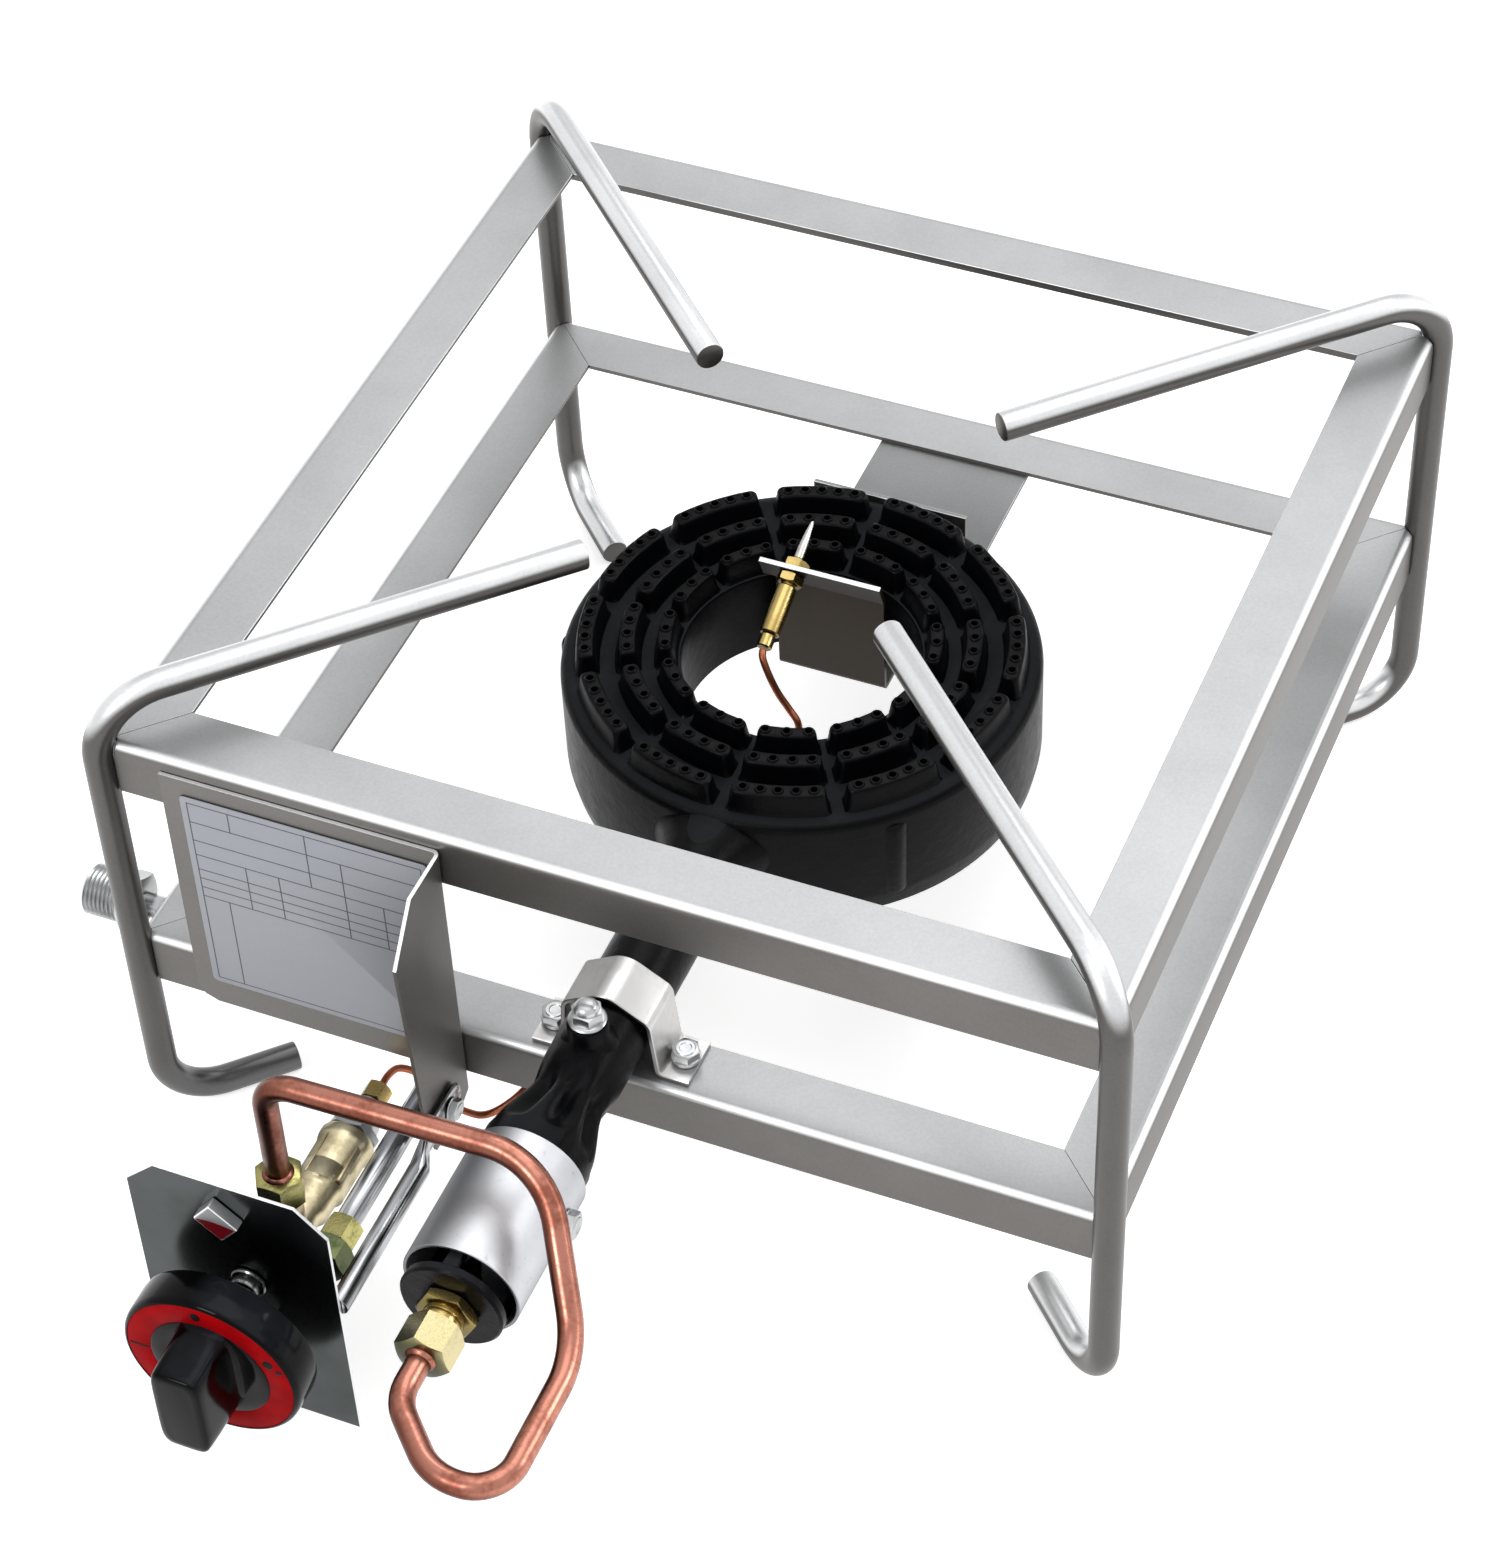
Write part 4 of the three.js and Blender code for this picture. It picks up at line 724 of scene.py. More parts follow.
# %% Lugs
LUG_LEVELS = (
    (2.5, -0.6), (1.75, 0.45), (1.3, 1.6), (0.85, 4.6),
    (0.35, 8.2), (0.1, 9.3), (-0.3, 10.0), (-0.85, 10.2),
)
LUG_TOP = LUG_LEVELS[-1][1]


def lug_outline(inner, outer, half, centre, height):
    """A piece of ring with rounded corners, run round from its outer edge."""
    corner = min((outer - inner) / 2.6, 2.4)
    points = []

    def add(radius, angle):
        turn = math.radians(centre) + angle
        points.append(at(radius * math.cos(turn), radius * math.sin(turn), height))

    def bend(radius, side, start, end):
        hub = half - corner / radius
        for k in range(5):
            sweep = math.radians(start + (end - start) * k / 4)
            add(radius + corner * math.sin(sweep), side * (hub + corner * math.cos(sweep) / radius))

    bend(outer - corner, -1, 0, 90)
    for share in (-0.6, -0.2, 0.2, 0.6):
        add(outer, share * half)
    bend(outer - corner, 1, 90, 0)
    bend(inner + corner, 1, 0, -90)
    for share in (0.6, 0.2, -0.2, -0.6):
        add(inner, share * half)
    bend(inner + corner, -1, -90, 0)
    return points


def add_lug(mesh, row, centre):
    inner, outer = row_edges(row)
    rings = []
    for grow, rise in LUG_LEVELS:
        half = math.radians(row[2]) + grow / outer
        rings.append(lug_outline(inner - grow, outer + grow, half, centre, PLATE + rise))
    skin(mesh, rings)


print("lug's height in mm", LUG_TOP, "and crest is narrower than its middle by mm", -LUG_LEVELS[-1][0])

# %% [markdown]
# The flame ports are drilled in a row along each lug. A painted dot would be flat in every other view, so
# small cylinders are taken out of the lugs by a Boolean, which is the drill. Each port gets the low raised
# collar that shows on the real one, turned from a small section.

# %% Turned forms and ports


def turn_of(axis):
    return Vector((0, 0, 1)).rotation_difference(axis)


def turned(mesh, profile, origin, axis, sides=48, closed=False):
    """Turns [radius, height] pairs in millimetres about an axis through the origin."""
    spin = turn_of(axis)
    rings = []
    for radius, height in profile:
        angles = [2 * math.pi * i / sides for i in range(sides)]
        flat = [Vector((radius * math.cos(a), radius * math.sin(a), height)) * MM for a in angles]
        rings.append([origin + spin @ point for point in flat])
    skin(mesh, rings, closed)


PORT_SIDES = 12


def port_places(row, centre):
    inner, outer = row_edges(row)
    radius = (inner + outer) / 2
    for i in range(row[3]):
        angle = math.radians(centre + (2 * i / (row[3] - 1) - 1) * PORT_SPREAD * row[2])
        yield at(radius * math.cos(angle), radius * math.sin(angle), PLATE + LUG_TOP)


def drilled_lugs():
    lugs, drills = bmesh.new(), bmesh.new()
    for centre in sector_angles():
        for row in LUG_ROWS:
            add_lug(lugs, row, centre)
            for place in port_places(row, centre):
                turned(drills, [(PORT, -7.0), (PORT, 3.0)], place, UP, PORT_SIDES)
    body, tool = finished("lugs", lugs, "casting"), finished("drills", drills, "casting")
    cut = body.modifiers.new("ports", "BOOLEAN")
    cut.object = tool
    cut.operation = "DIFFERENCE"
    cut.solver = "MANIFOLD"
    bpy.context.view_layer.update()
    result = bmesh.new()
    result.from_mesh(body.evaluated_get(bpy.context.evaluated_depsgraph_get()).to_mesh())
    for scrap in (body, tool):
        bpy.data.objects.remove(scrap)
    return result


def add_collars(mesh):
    section = [(PORT, -2.0), (PORT, 0.45), (PORT + 0.2, 0.72), (PORT + 0.6, 0.75)]
    section += [(PORT + 0.95, 0.4), (PORT + 1.15, -0.3), (PORT + 1.4, -2.2)]
    for centre in sector_angles():
        for row in LUG_ROWS:
            for place in port_places(row, centre):
                turned(mesh, section, place, UP, PORT_SIDES, True)


casting = drilled_lugs()
print("lug faces with their ports", len(casting.faces))
add_collars(casting)

# %% [markdown]
# The plate, its wall and the open skirt below are one section turned about the middle: a rounded shoulder, a
# low bead inside it, and a wall that leans in a little towards its foot, as a pattern must to leave the sand.
# Two half-round bosses run down the wall, where the mould was joined.

# %% Plate, wall and bosses
SHOULDER = 4.0
BOSS = 6.0
BOSS_ANGLES = (192, -46)


def add_plate(mesh):
    angles = [math.radians(a) for a in (0, 22, 45, 68)]
    hub = (BURNER - SHOULDER, PLATE - SHOULDER)
    shoulder = [(hub[0] + SHOULDER * math.cos(a), hub[1] + SHOULDER * math.sin(a)) for a in angles]
    bead = [(BURNER - 4.1, PLATE + 0.2), (BURNER - 5, PLATE + 0.5), (BURNER - 6.2, PLATE + 0.45)]
    bead += [(BURNER - 7.4, PLATE)]
    hole = [(HOLE + 1.4, PLATE), (HOLE + 0.5, PLATE - 0.35), (HOLE + 0.05, PLATE - 1.3), (HOLE + 1.1, FLOOR)]
    foot = [(BURNER - 11.5, FLOOR), (BURNER - 10, SKIRT + 0.6), (BURNER - 9.2, SKIRT), (BURNER - 2.6, SKIRT)]
    wall = [(BURNER - 1.7, SKIRT + 0.5), (BURNER - 0.1, SKIRT + 8.4), (BURNER, SKIRT + 10)]
    turned(mesh, hole + foot + wall + shoulder + bead, MIDDLE, UP, 144, True)


def add_wall_bosses(mesh):
    low, high = SKIRT + 9, PLATE - 6
    height, reach = high - low, BURNER + 2 - BOSS
    rounded = [(BOSS - 1.4, 0), (BOSS - 0.4, 0.6), (BOSS, 2)]
    profile = rounded + [(radius, height - rise) for radius, rise in reversed(rounded)]
    for angle in BOSS_ANGLES:
        turn = math.radians(angle)
        turned(mesh, profile, at(reach * math.cos(turn), reach * math.sin(turn), low), UP, 32)


add_plate(casting)
add_wall_bosses(casting)
print("casting faces with plate and bosses", len(casting.faces))

# %% [markdown]
# The venturi is cast in one with the burner: a tube that passes over the lower rail, narrows to a waist and
# opens in a fluted flare to the bell that the air sleeve slides on. Its section is round only in part, so
# it isn't turned: rings are drawn one by one along the tube, and the flutes are a wave in their radius that
# comes in and dies away along the flare.

# %% Venturi
VENTURI = 124.8
WAIST, FLARE_END, BELL_END = 239.0, 266.0, 285.0
TUBE, NECK, BELL = 16.0, 14.5, 21.2
FLUTES, FLUTE_DEPTH = 8, 5.4
FLUTE_START, FLUTE_END = 231, 260.0
PAD_LOW, PAD_HEIGHT = 106.4, 11


def venturi_runs():
    """Place along the tube, radius, height limit and depth of the flutes, from the burner to the bell."""
    root = ((-9, 10), (-1, 7.8), (2, 5.6), (6, 3.2), (11, 1.4), (17, 0.3), (22, 0))
    runs = [(BURNER + ahead, TUBE + swell, TUBE + min(swell, 2.2), 0) for ahead, swell in root]
    runs += [(place, TUBE - taper, TUBE - taper, 0) for place, taper in ((206, 0), (219, 0.1), (226, 0.8))]
    for k in range(1, 13):
        share = k / 12
        swell = share * share * (3 - 2 * share)
        radius = NECK + (BELL - NECK) * swell
        depth = FLUTE_DEPTH * math.sin(math.pi * share) ** 0.7 if k < 12 else 0
        runs.append((FLUTE_START + (FLUTE_END - FLUTE_START) * share, radius, radius, depth))
    lip = [(BELL_END - 0.8, BELL), (BELL_END, BELL - 0.8), (BELL_END, BELL - 2.6)]
    lip += [(FLARE_END + 4, BELL - 3.4), (WAIST + 8, 10.5)]
    return runs + [(place, radius, radius, 0) for place, radius in lip]


def add_venturi(mesh):
    count = 96
    rows = []
    for reach, radius, tall, dip in venturi_runs():
        ring = []
        for i in range(count):
            angle = 2 * math.pi * i / count
            wave = dip * (0.5 - 0.5 * math.cos(FLUTES * angle)) ** 1.3
            across, rise = (radius - wave) * math.cos(angle), (tall - wave) * math.sin(angle)
            ring.append(at(across, -reach, VENTURI + rise))
        rows.append(ring)
    skin(mesh, rows)
    pad = [at(x, y, PAD_LOW) for x, y in ((-8, -174.8), (8, -174.8), (8, -196.6), (-8, -196.6))]
    skin(mesh, [pad, [point + UP * PAD_HEIGHT * MM for point in pad]])


add_venturi(casting)
print("venturi's sections", len(venturi_runs()))

# %% [markdown]
# Two more things are cast on the venturi. A short boss stands up behind the waist and takes the cap nut.
# Three bars run forward from the bell and hold the air plate, the thick ring that the injector screws into.
# The bars swell where they join, so their outline is drawn four times along the way at its own size.

# %% Boss and air plate
PLUG_PLACE = -211
AIR_PLATE = 329.7
BAR_ANGLES, BAR_MIDDLE = (90, 210, 330), 18.2


def add_plug_boss(mesh):
    foot = VENTURI + TUBE - 5
    top = VENTURI + TUBE + 6
    profile = [(11.5, 0), (10.6, 1.8), (8.9, 4.0), (8.15, 6.0), (8.0, top - foot - 0.7), (7.4, top - foot)]
    turned(mesh, profile, at(0, PLUG_PLACE, foot), UP, 40)


def add_air_plate(mesh):
    outline = [(-3, 17), (-2.4, 16.4), (2.4, 16.4), (3, 17), (3, 19.4), (2.4, 20), (-2.4, 20), (-3, 19.4)]
    swells = ((BELL_END - 1, 1.1), (BELL_END + 5, 1.0), (AIR_PLATE - 5, 1.0), (AIR_PLATE + 1, 1.15))
    for angle in BAR_ANGLES:
        spin = Matrix.Rotation(math.radians(90 - angle), 3, "Y")
        rings = []
        for place, fat in swells:
            points = [spin @ Vector((x * fat, 0, BAR_MIDDLE + (z - BAR_MIDDLE) * fat)) for x, z in outline]
            rings.append([at(p.x, -place, VENTURI + p.z) for p in points])
        skin(mesh, rings)
    rim = [(7.9, 0.0), (19.2, 0.0), (20.2, 0.8), (20.3, 3.6), (19.4, 4.6), (12.0, 4.6), (7.9, 4.6)]
    turned(mesh, rim, at(0, -AIR_PLATE, VENTURI), FRONT, 56, True)


add_plug_boss(casting)
add_air_plate(casting)
print("casting faces in all", len(casting.faces))
stands_for(finished("ring_burner", casting, "casting", 42), "burner_casting")

# %% [markdown]
# The strap holds the venturi down on the lower rail. It is a strip of plated steel with five folds: two ears,
# two walls and a low roof over the tube. A box with bevels would have folds that are too sharp, so it is
# drawn as a line with round corners, given its thickness, and then its width.

# %% Strap
STRAP_SHEET, STRAP_WIDTH = 2.0, 22.0


def folded_strip(mesh, route, sheet, across, width, edge=0.35):
    """A strip of sheet along a route, as wide as asked along one axis, with its cut edges broken."""
    slices = ((0.0, edge), (edge, 0.0), (width - edge, 0.0), (width, edge))
    rings = []
    for along, inset in slices:
        over, under = [], []
        for i, point in enumerate(route):
            before, after = route[max(i - 1, 0)], route[min(i + 1, len(route) - 1)]
            lift = across.cross((after - before).normalized()) * (sheet / 2 - inset) * MM
            over.append(point + across * along * MM + lift)
            under.append(point + across * along * MM - lift)
        rings.append(over + under[::-1])
    skin(mesh, rings)


strap_low, strap_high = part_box("venturi_strap")
strap_seat = strap_low.z / MM + STRAP_SHEET / 2
strap_ear = (strap_high.x - strap_low.x) / 2 / MM
strap_half = [(0, 144.8), (17.3, 134.4), (19.9, strap_seat), (strap_ear, strap_seat)]
strap_line = [(-x, z) for x, z in reversed(strap_half[1:])] + strap_half
STRAP_FOLDS = (2.6, 5.0, 9.0, 5.0, 2.6)
strap_y = (strap_high.y - MIDDLE.y) / MM
mesh = bmesh.new()
strap_route = rounded_route([at(x, strap_y, z) for x, z in strap_line], STRAP_FOLDS, 8)
folded_strip(mesh, strap_route, STRAP_SHEET, FRONT, STRAP_WIDTH)
stands_for(finished("venturi_strap_folded", mesh, "strap"), "venturi_strap")
print("strap's ears reach to mm", round(strap_ear, 1), "on a seat at mm", round(strap_seat, 1))

# %% [markdown]
# Bolts and nuts are where a stand-in gives itself away. A plain prism has corners that catch the light all
# the way up, but on a real nut a cone has turned the corners off, which leaves a scalloped edge. So the
# points of each ring run round the hexagon, and the ends fall away where the corner stands out. The same
# helper makes the gas nuts, with a bore for the tube.

# %% Hexagons


def hexagon(mesh, flats, length, origin, axis, bore=0.0, chamfer=0.12, points=48, twist=0.0):
    """A hexagon nut or head whose corners are turned off by a cone at both ends."""
    spin = turn_of(axis) @ Matrix.Rotation(math.radians(twist), 3, "Z").to_quaternion()
    inner = flats / 2 * (1 - chamfer / 2)
    rows = [[], [], [], []]
    for i in range(points):
        angle = 2 * math.pi * i / points
        from_flat = (angle + math.pi / 6) % (math.pi / 3) - math.pi / 6
        radius = flats / 2 / math.cos(from_flat)
        fall = (radius - inner) * 0.5
        steps = ((inner, 0.0), (radius, fall), (radius, length - fall), (inner, length))
        for row, (reach, height) in zip(rows, steps):
            flat = Vector((reach * math.sin(-angle), reach * math.cos(angle), height)) * MM
            row.append(origin + spin @ flat)
    if bore:
        angles = [2 * math.pi * i / points for i in range(points)]
        holes = []
        for height in (length, 0.0):
            hole = [Vector((bore * math.sin(-a), bore * math.cos(a), height)) * MM for a in angles]
            holes.append([origin + spin @ flat for flat in hole])
        skin(mesh, holes + rows, True)
    else:
        skin(mesh, rows)


def nut_piece(node, flats, length, place, axis, bore, finish, twist=0.0):
    mesh = bmesh.new()
    hexagon(mesh, flats, length, place, axis, bore, twist=twist)
    return stands_for(finished(node + "_turned", mesh, finish), node)


print("a 10 mm nut is across its corners mm", round(10 / math.cos(math.pi / 6), 2))

# %% [markdown]
# A bolt adds three turned forms to its hexagon: a small crown on top, a washer face below, and the shank. All
# are drawn for a head of 10 mm across flats, and scaled for the others. Their places come from the packed
# nodes' boxes, so that each bolt sits on what it holds.

# %% Bolts


def bolt_piece(node, head, axis, shank, flats=10):
    """A bolt whose head starts at a place and whose shank runs back along the axis."""
    size = flats / 10
    crown = [(3.9, 4.0), (3.95, 4.3), (3.6, 4.6), (2.5, 4.6), (2.2, 4.35), (0.6, 4.3)]
    flange = [(5.5, -0.02), (5.8, 0.2), (5.7, 0.6), (4.7, 0.95)]
    thread = [(2.6, -shank / size), (3.0, -shank / size + 0.6), (3.0, 0.1)]
    mesh = bmesh.new()
    hexagon(mesh, flats, 4.2 * size, head, axis, chamfer=0.14)
    for profile, sides in ((crown, 32), (flange, 40), (thread, 24)):
        turned(mesh, [(radius * size, height * size) for radius, height in profile], head, axis, sides)
    return stands_for(finished(node + "_turned", mesh, "zinc"), node)


def middle_of(node):
    low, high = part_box(node)
    return (low + high) / 2


def low_of(node):
    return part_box(node)[0]


def high_of(node):
    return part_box(node)[1]


WASHER = [(3.4, 0.15), (3.5, 0), (5.3, 0), (5.5, 0.3), (5.5, 1.1), (5.3, 1.4), (3.5, 1.4), (3.4, 1.2)]
NUT_LENGTH, NUT_BORE = 4.5, 3.1
for side in ("left", "right"):
    spot = middle_of(f"strap_washer_{side}")
    head = Vector((spot.x, spot.y, high_of(f"strap_washer_{side}").z + 0.3 * MM))
    bolt_piece(f"strap_bolt_{side}", head, UP, (head.z - low_of(f"strap_bolt_{side}").z) / MM)
    nut_top = Vector((spot.x, spot.y, high_of(f"strap_nut_{side}").z))
    nut_piece(f"strap_nut_{side}", 10, NUT_LENGTH, nut_top, DOWN, NUT_BORE, "zinc")
    mesh = bmesh.new()
    base = Vector((spot.x, spot.y, low_of(f"strap_washer_{side}").z))
    turned(mesh, WASHER, base, UP, 36, True)
    stands_for(finished(f"strap_washer_{side}_turned", mesh, "zinc"), f"strap_washer_{side}")
    print(side, "strap bolt's shank in mm", round((head.z - low_of(f"strap_bolt_{side}").z) / MM, 1))

# %% [markdown]
# Two more bolts lie level: the set bolt in the air sleeve, which rides on the sleeve, and the bolt that ties
# the strut to the wing of the label's plate, with its nut on the far side.

# %% Set bolt and strut bolt
SLEEVE_BOLT_SEAT = 23.3
STRUT_HEAD, STRUT_FLATS = 4.8, 8
sleeve_bolt = middle_of("sleeve_bolt")
head = Vector((at(SLEEVE_BOLT_SEAT, 0, 0).x, sleeve_bolt.y, sleeve_bolt.z))
bolt_piece("sleeve_bolt", head, RIGHT, (head.x - low_of("sleeve_bolt").x) / MM)
strut_bolt = middle_of("strut_bolt")
head = Vector((high_of("strut_bolt").x - STRUT_HEAD * MM, strut_bolt.y, strut_bolt.z))
bolt_piece("strut_bolt", head, RIGHT, (head.x - low_of("strut_bolt").x) / MM, STRUT_FLATS)
nut_end = Vector((high_of("strut_nut").x, strut_bolt.y, strut_bolt.z))
nut_piece("strut_nut", 9, NUT_LENGTH, nut_end, LEFT, NUT_BORE, "zinc")
print("strut bolt at mm", [round(v / MM, 1) for v in strut_bolt - MIDDLE])

# %% [markdown]
# A cap nut with a flange closes the boss on the venturi. It is the brightest thing on the black tube, so a
# plain hexagon would show. Three forms share one mesh: a flange with a soft rim, the hexagon, and a dome
# turned round on top.

# %% Plug on the boss
plug_base = Vector((middle_of("boss_plug").x, middle_of("boss_plug").y, low_of("boss_plug").z))
mesh = bmesh.new()
turned(mesh, [(6.4, 0), (7.3, 0.25), (7.4, 0.8), (6.9, 1.35), (5.8, 1.7)], plug_base, UP, 48)
hexagon(mesh, 11, 5.0, plug_base + UP * 1.2 * MM, UP, chamfer=0.14)
dome = [(4.9, 6.1), (4.85, 6.9), (4.5, 8.0), (3.6, 9.0), (2.2, 9.55), (0.8, 9.7)]
turned(mesh, dome, plug_base, UP, 40)
stands_for(finished("boss_cap_nut", mesh, "zinc"), "boss_plug")
print("cap nut's height in mm", dome[-1][1])

# %% [markdown]
# The air sleeve slides on the bell to let more or less air in, and its set bolt holds it. It is a plain
# turned tube, so the section of its wall is turned about the venturi's axis: that shows how thick the wall is
# at the front rim, which an open cylinder would not, and its edges are broken in the same section.

# %% Air sleeve
sleeve_low, sleeve_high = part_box("air_sleeve")
sleeve_start = Vector((middle_of("air_sleeve").x, sleeve_low.y, middle_of("air_sleeve").z))
SLEEVE_LENGTH = (sleeve_high.y - sleeve_low.y) / MM
SLEEVE_OUT, SLEEVE_IN = 23.0, 21.5
front_rim = [(SLEEVE_IN, 0.3), (SLEEVE_IN + 0.3, 0), (SLEEVE_OUT - 0.35, 0), (SLEEVE_OUT, 0.35)]
back_rim = [(radius, SLEEVE_LENGTH - height) for radius, height in reversed(front_rim)]
mesh = bmesh.new()
turned(mesh, front_rim + back_rim, sleeve_start, BACK, 96, True)
stands_for(finished("air_sleeve_turned", mesh, "sleeve"), "air_sleeve")
print("sleeve length in mm", round(SLEEVE_LENGTH, 2))

# %% [markdown]
# The injector is screwed through the air plate: a yellow brass hexagon with a grooved neck, a longer nut, and
# the copper tube going in through the nut. The nut is turned by 20 degrees from the hexagon behind it, as the
# spanner left it, because two hexagons in line would read as one.

# %% Injector
HOLDER_SEAT, HOLDER_FLATS = -334.6, 21
INJECTOR_NUT_SEAT, INJECTOR_NUT_FLATS, INJECTOR_NUT_TWIST = -344.0, 19.5, -20
flange = at(0, HOLDER_SEAT, VENTURI)
neck = [(8.0, 4.0), (8.0, 6.2), (7.3, 6.6), (7.3, 7.2), (8.0, 7.6), (8.0, 8.8), (7.6, 9.1)]
mesh = bmesh.new()
hexagon(mesh, HOLDER_FLATS, 4.8, flange, FRONT)
turned(mesh, neck, flange, FRONT, 48)
turned(mesh, [(7.5, -9.2), (7.5, 0.1)], flange, FRONT, 40)
stands_for(finished("injector_holder_turned", mesh, "brass"), "injector_holder")
nut_start = at(0, INJECTOR_NUT_SEAT, VENTURI)
nut_piece("injector_nut", INJECTOR_NUT_FLATS, 14.6, nut_start, FRONT, 5.2, "nut", INJECTOR_NUT_TWIST)
jet = Vector((MIDDLE.x, low_of("injector_jet").y, middle_of("injector_jet").z))
mesh = bmesh.new()
turned(mesh, [(5, 0), (5, 6.5), (2, 13), (0.6, 13)], jet, BACK, 36)
stands_for(finished("injector_jet_turned", mesh, "brass"), "injector_jet")
print("jet starts behind the nut's seat by mm", round((jet.y - nut_start.y) / MM, 1))

# %% [markdown]
# The copper tube leaves the tap, rises, crosses over the venturi, drops at the right of the sleeve and loops
# round into the injector. A bent tube flattens a little at its bends, but the eye reads it as round, so one
# round section is carried along the whole route. Where the tube goes into a nut, a soft ring of copper, the
# olive, is squeezed out round it.

# %% Copper supply tube and its olives
COPPER = 4.8
OUTLET_X, OUTLET_Y = -92.7, -291
LOOP_X, LOOP_Y = 50.2, -401.2
COPPER_CORNERS = (
    (OUTLET_X, OUTLET_Y, 98.3), (OUTLET_X, OUTLET_Y, 162), (20.8, OUTLET_Y, 166.3), (LOOP_X, -337, VENTURI),
    (LOOP_X, LOOP_Y, VENTURI), (24, LOOP_Y, VENTURI), (0, -377.2, VENTURI), (0, -347, VENTURI),
)
COPPER_BENDS = (14, 35, 35, 15, 24, 20)
mesh = bmesh.new()
copper_route = rounded_route([at(*corner) for corner in COPPER_CORNERS], COPPER_BENDS, 14)
swept(mesh, copper_route, COPPER, 28, 0.2)
stands_for(finished("copper_tube_bent", mesh, "copper"), "copper_supply_tube")


def olive(name, place, axis):
    mesh = bmesh.new()
    section = [(0.05, -2.0), (1.3, -2.0), (1.3, 0.15), (0.9, 0.75), (0.05, 1.5)]
    turned(mesh, [(COPPER + out, height) for out, height in section], place, axis, 36, True)
    extra(finished(name, mesh, "copper"), "frame")


olive("outlet_olive", at(OUTLET_X, OUTLET_Y, 109.3), UP)
olive("injector_olive", at(0, -358.6, VENTURI), FRONT)
copper_length = sum((b - a).length for a, b in zip(copper_route, copper_route[1:])) / MM
print("copper tube's length in mm", round(copper_length))

# %% [markdown]
# The tap carries a nut at its outlet, where the copper starts, one at its inlet, and behind it the magnet
# unit that holds the gas on while the thermocouple is hot, with the small nut of the thermocouple's lead. The
# nuts are olive from their plating. The magnet unit is one mesh of a hexagon and a stepped can.

# %% Tap fittings
INLET_X, INLET_Z = -74, 74
nut_piece("outlet_nut", 17, 14, at(OUTLET_X, OUTLET_Y, 95.3), UP, 5.25, "olive")
nut_piece("inlet_nut", 13.4, 11.5, at(INLET_X, -291.6, INLET_Z), BACK, 5.4, "olive")
lead_end = Vector((middle_of("lead_nut").x, high_of("lead_nut").y, middle_of("lead_nut").z))
nut_piece("lead_nut", 10, 8, lead_end, FRONT, 2.1, "brass")
magnet = Vector((middle_of("magnet_unit").x, low_of("magnet_unit").y, middle_of("magnet_unit").z))
can = [(8.3, 4.5), (8.4, 9.2), (7.9, 10.6), (6.6, 11.6), (5.6, 12.2), (5.5, 18.4), (5.0, 18.9)]
mesh = bmesh.new()
hexagon(mesh, 19.5, 4.6, magnet, BACK)
turned(mesh, can, magnet, BACK, 48)
stands_for(finished("magnet_unit_turned", mesh, "zinc"), "magnet_unit")
print("from the magnet unit to the end of the lead's nut, mm", round((lead_end.y - magnet.y) / MM, 1))

# %% [markdown]
# The tap's body is cast: a barrel with a rim at its back, a neck, and a block that takes the two nuts. It
# could be sculpted as one skin, but a pattern maker builds it from turned forms that run into each other,
# and so does this mesh, with a flat pad on the barrel's side and a seam where the two halves of the mould
# met.

# %% Tap body
TAP_X, TAP_Z = -93.5, 69.3
PAD_REACH, SEAM_REACH = 10.6, 10.25
BARREL = (
    (8.0, -331.9), (8.0, -324.4), (9.6, -324.1), (9.6, -308), (8.4, -304), (7.2, -300), (7.0, -287),
    (7.1, -279.5), (8.7, -277), (9.0, -268.6), (9.3, -267), (10.4, -265.8), (10.4, -258.2), (10.15, -257.8),
    (10.15, -257.2), (10.4, -256.8), (10.4, -246.6), (11.0, -245.4), (11.3, -243.8), (11.3, -241.2),
    (10.9, -240.2), (9.6, -239.9),
)


def rounded_bar(mesh, width, height, length, origin, axis, upward, edge=0.8):
    """A bar with soft long edges and ends, its middle line along an axis from the origin."""
    across = axis.cross(upward).normalized()
    tall = across.cross(axis).normalized()
    near_end = [(0.0, edge), (0.4 * edge, 0.3 * edge), (edge, 0.0)]
    rings = []
    for along, inset in near_end + [(length - along, inset) for along, inset in reversed(near_end)]:
        ring = []
        for sx, sz, start in ((1, 1, 0), (-1, 1, 90), (-1, -1, 180), (1, -1, 270)):
            for k in range(4):
                turn = math.radians(start + 30 * k)
                x = sx * (width / 2 - edge) + (edge - inset) * math.cos(turn)
                z = sz * (height / 2 - edge) + (edge - inset) * math.sin(turn)
                ring.append(origin + (across * x + tall * z + axis * along) * MM)
        rings.append(ring)
    skin(mesh, rings)


pad_side = (RIGHT * 0.8 + UP * 0.6).normalized()
seam = (UP * 0.9 - RIGHT * 0.44).normalized()
pad_start = at(TAP_X, -265, TAP_Z) + pad_side * PAD_REACH * MM
seam_start = at(TAP_X, -266, TAP_Z) + seam * SEAM_REACH * MM
mesh = bmesh.new()
turned(mesh, BARREL, at(TAP_X, 0, TAP_Z), BACK, 56)
turned(mesh, [(6.6, 0), (7.3, 2), (7.3, 25.4), (6.9, 25.9)], at(OUTLET_X, OUTLET_Y, TAP_Z), UP, 40)
turned(mesh, [(6.8, -2), (7.3, 0), (7.3, 17.5), (6.2, 18.2)], at(TAP_X, -297.5, 71.6), RIGHT, 36)
turned(mesh, [(5.0, 0), (5.2, 5.6), (4.9, 6.2)], at(INLET_X, -297.2, INLET_Z), BACK, 36)
rounded_bar(mesh, 3.2, 3.0, 18, pad_start, BACK, pad_side)
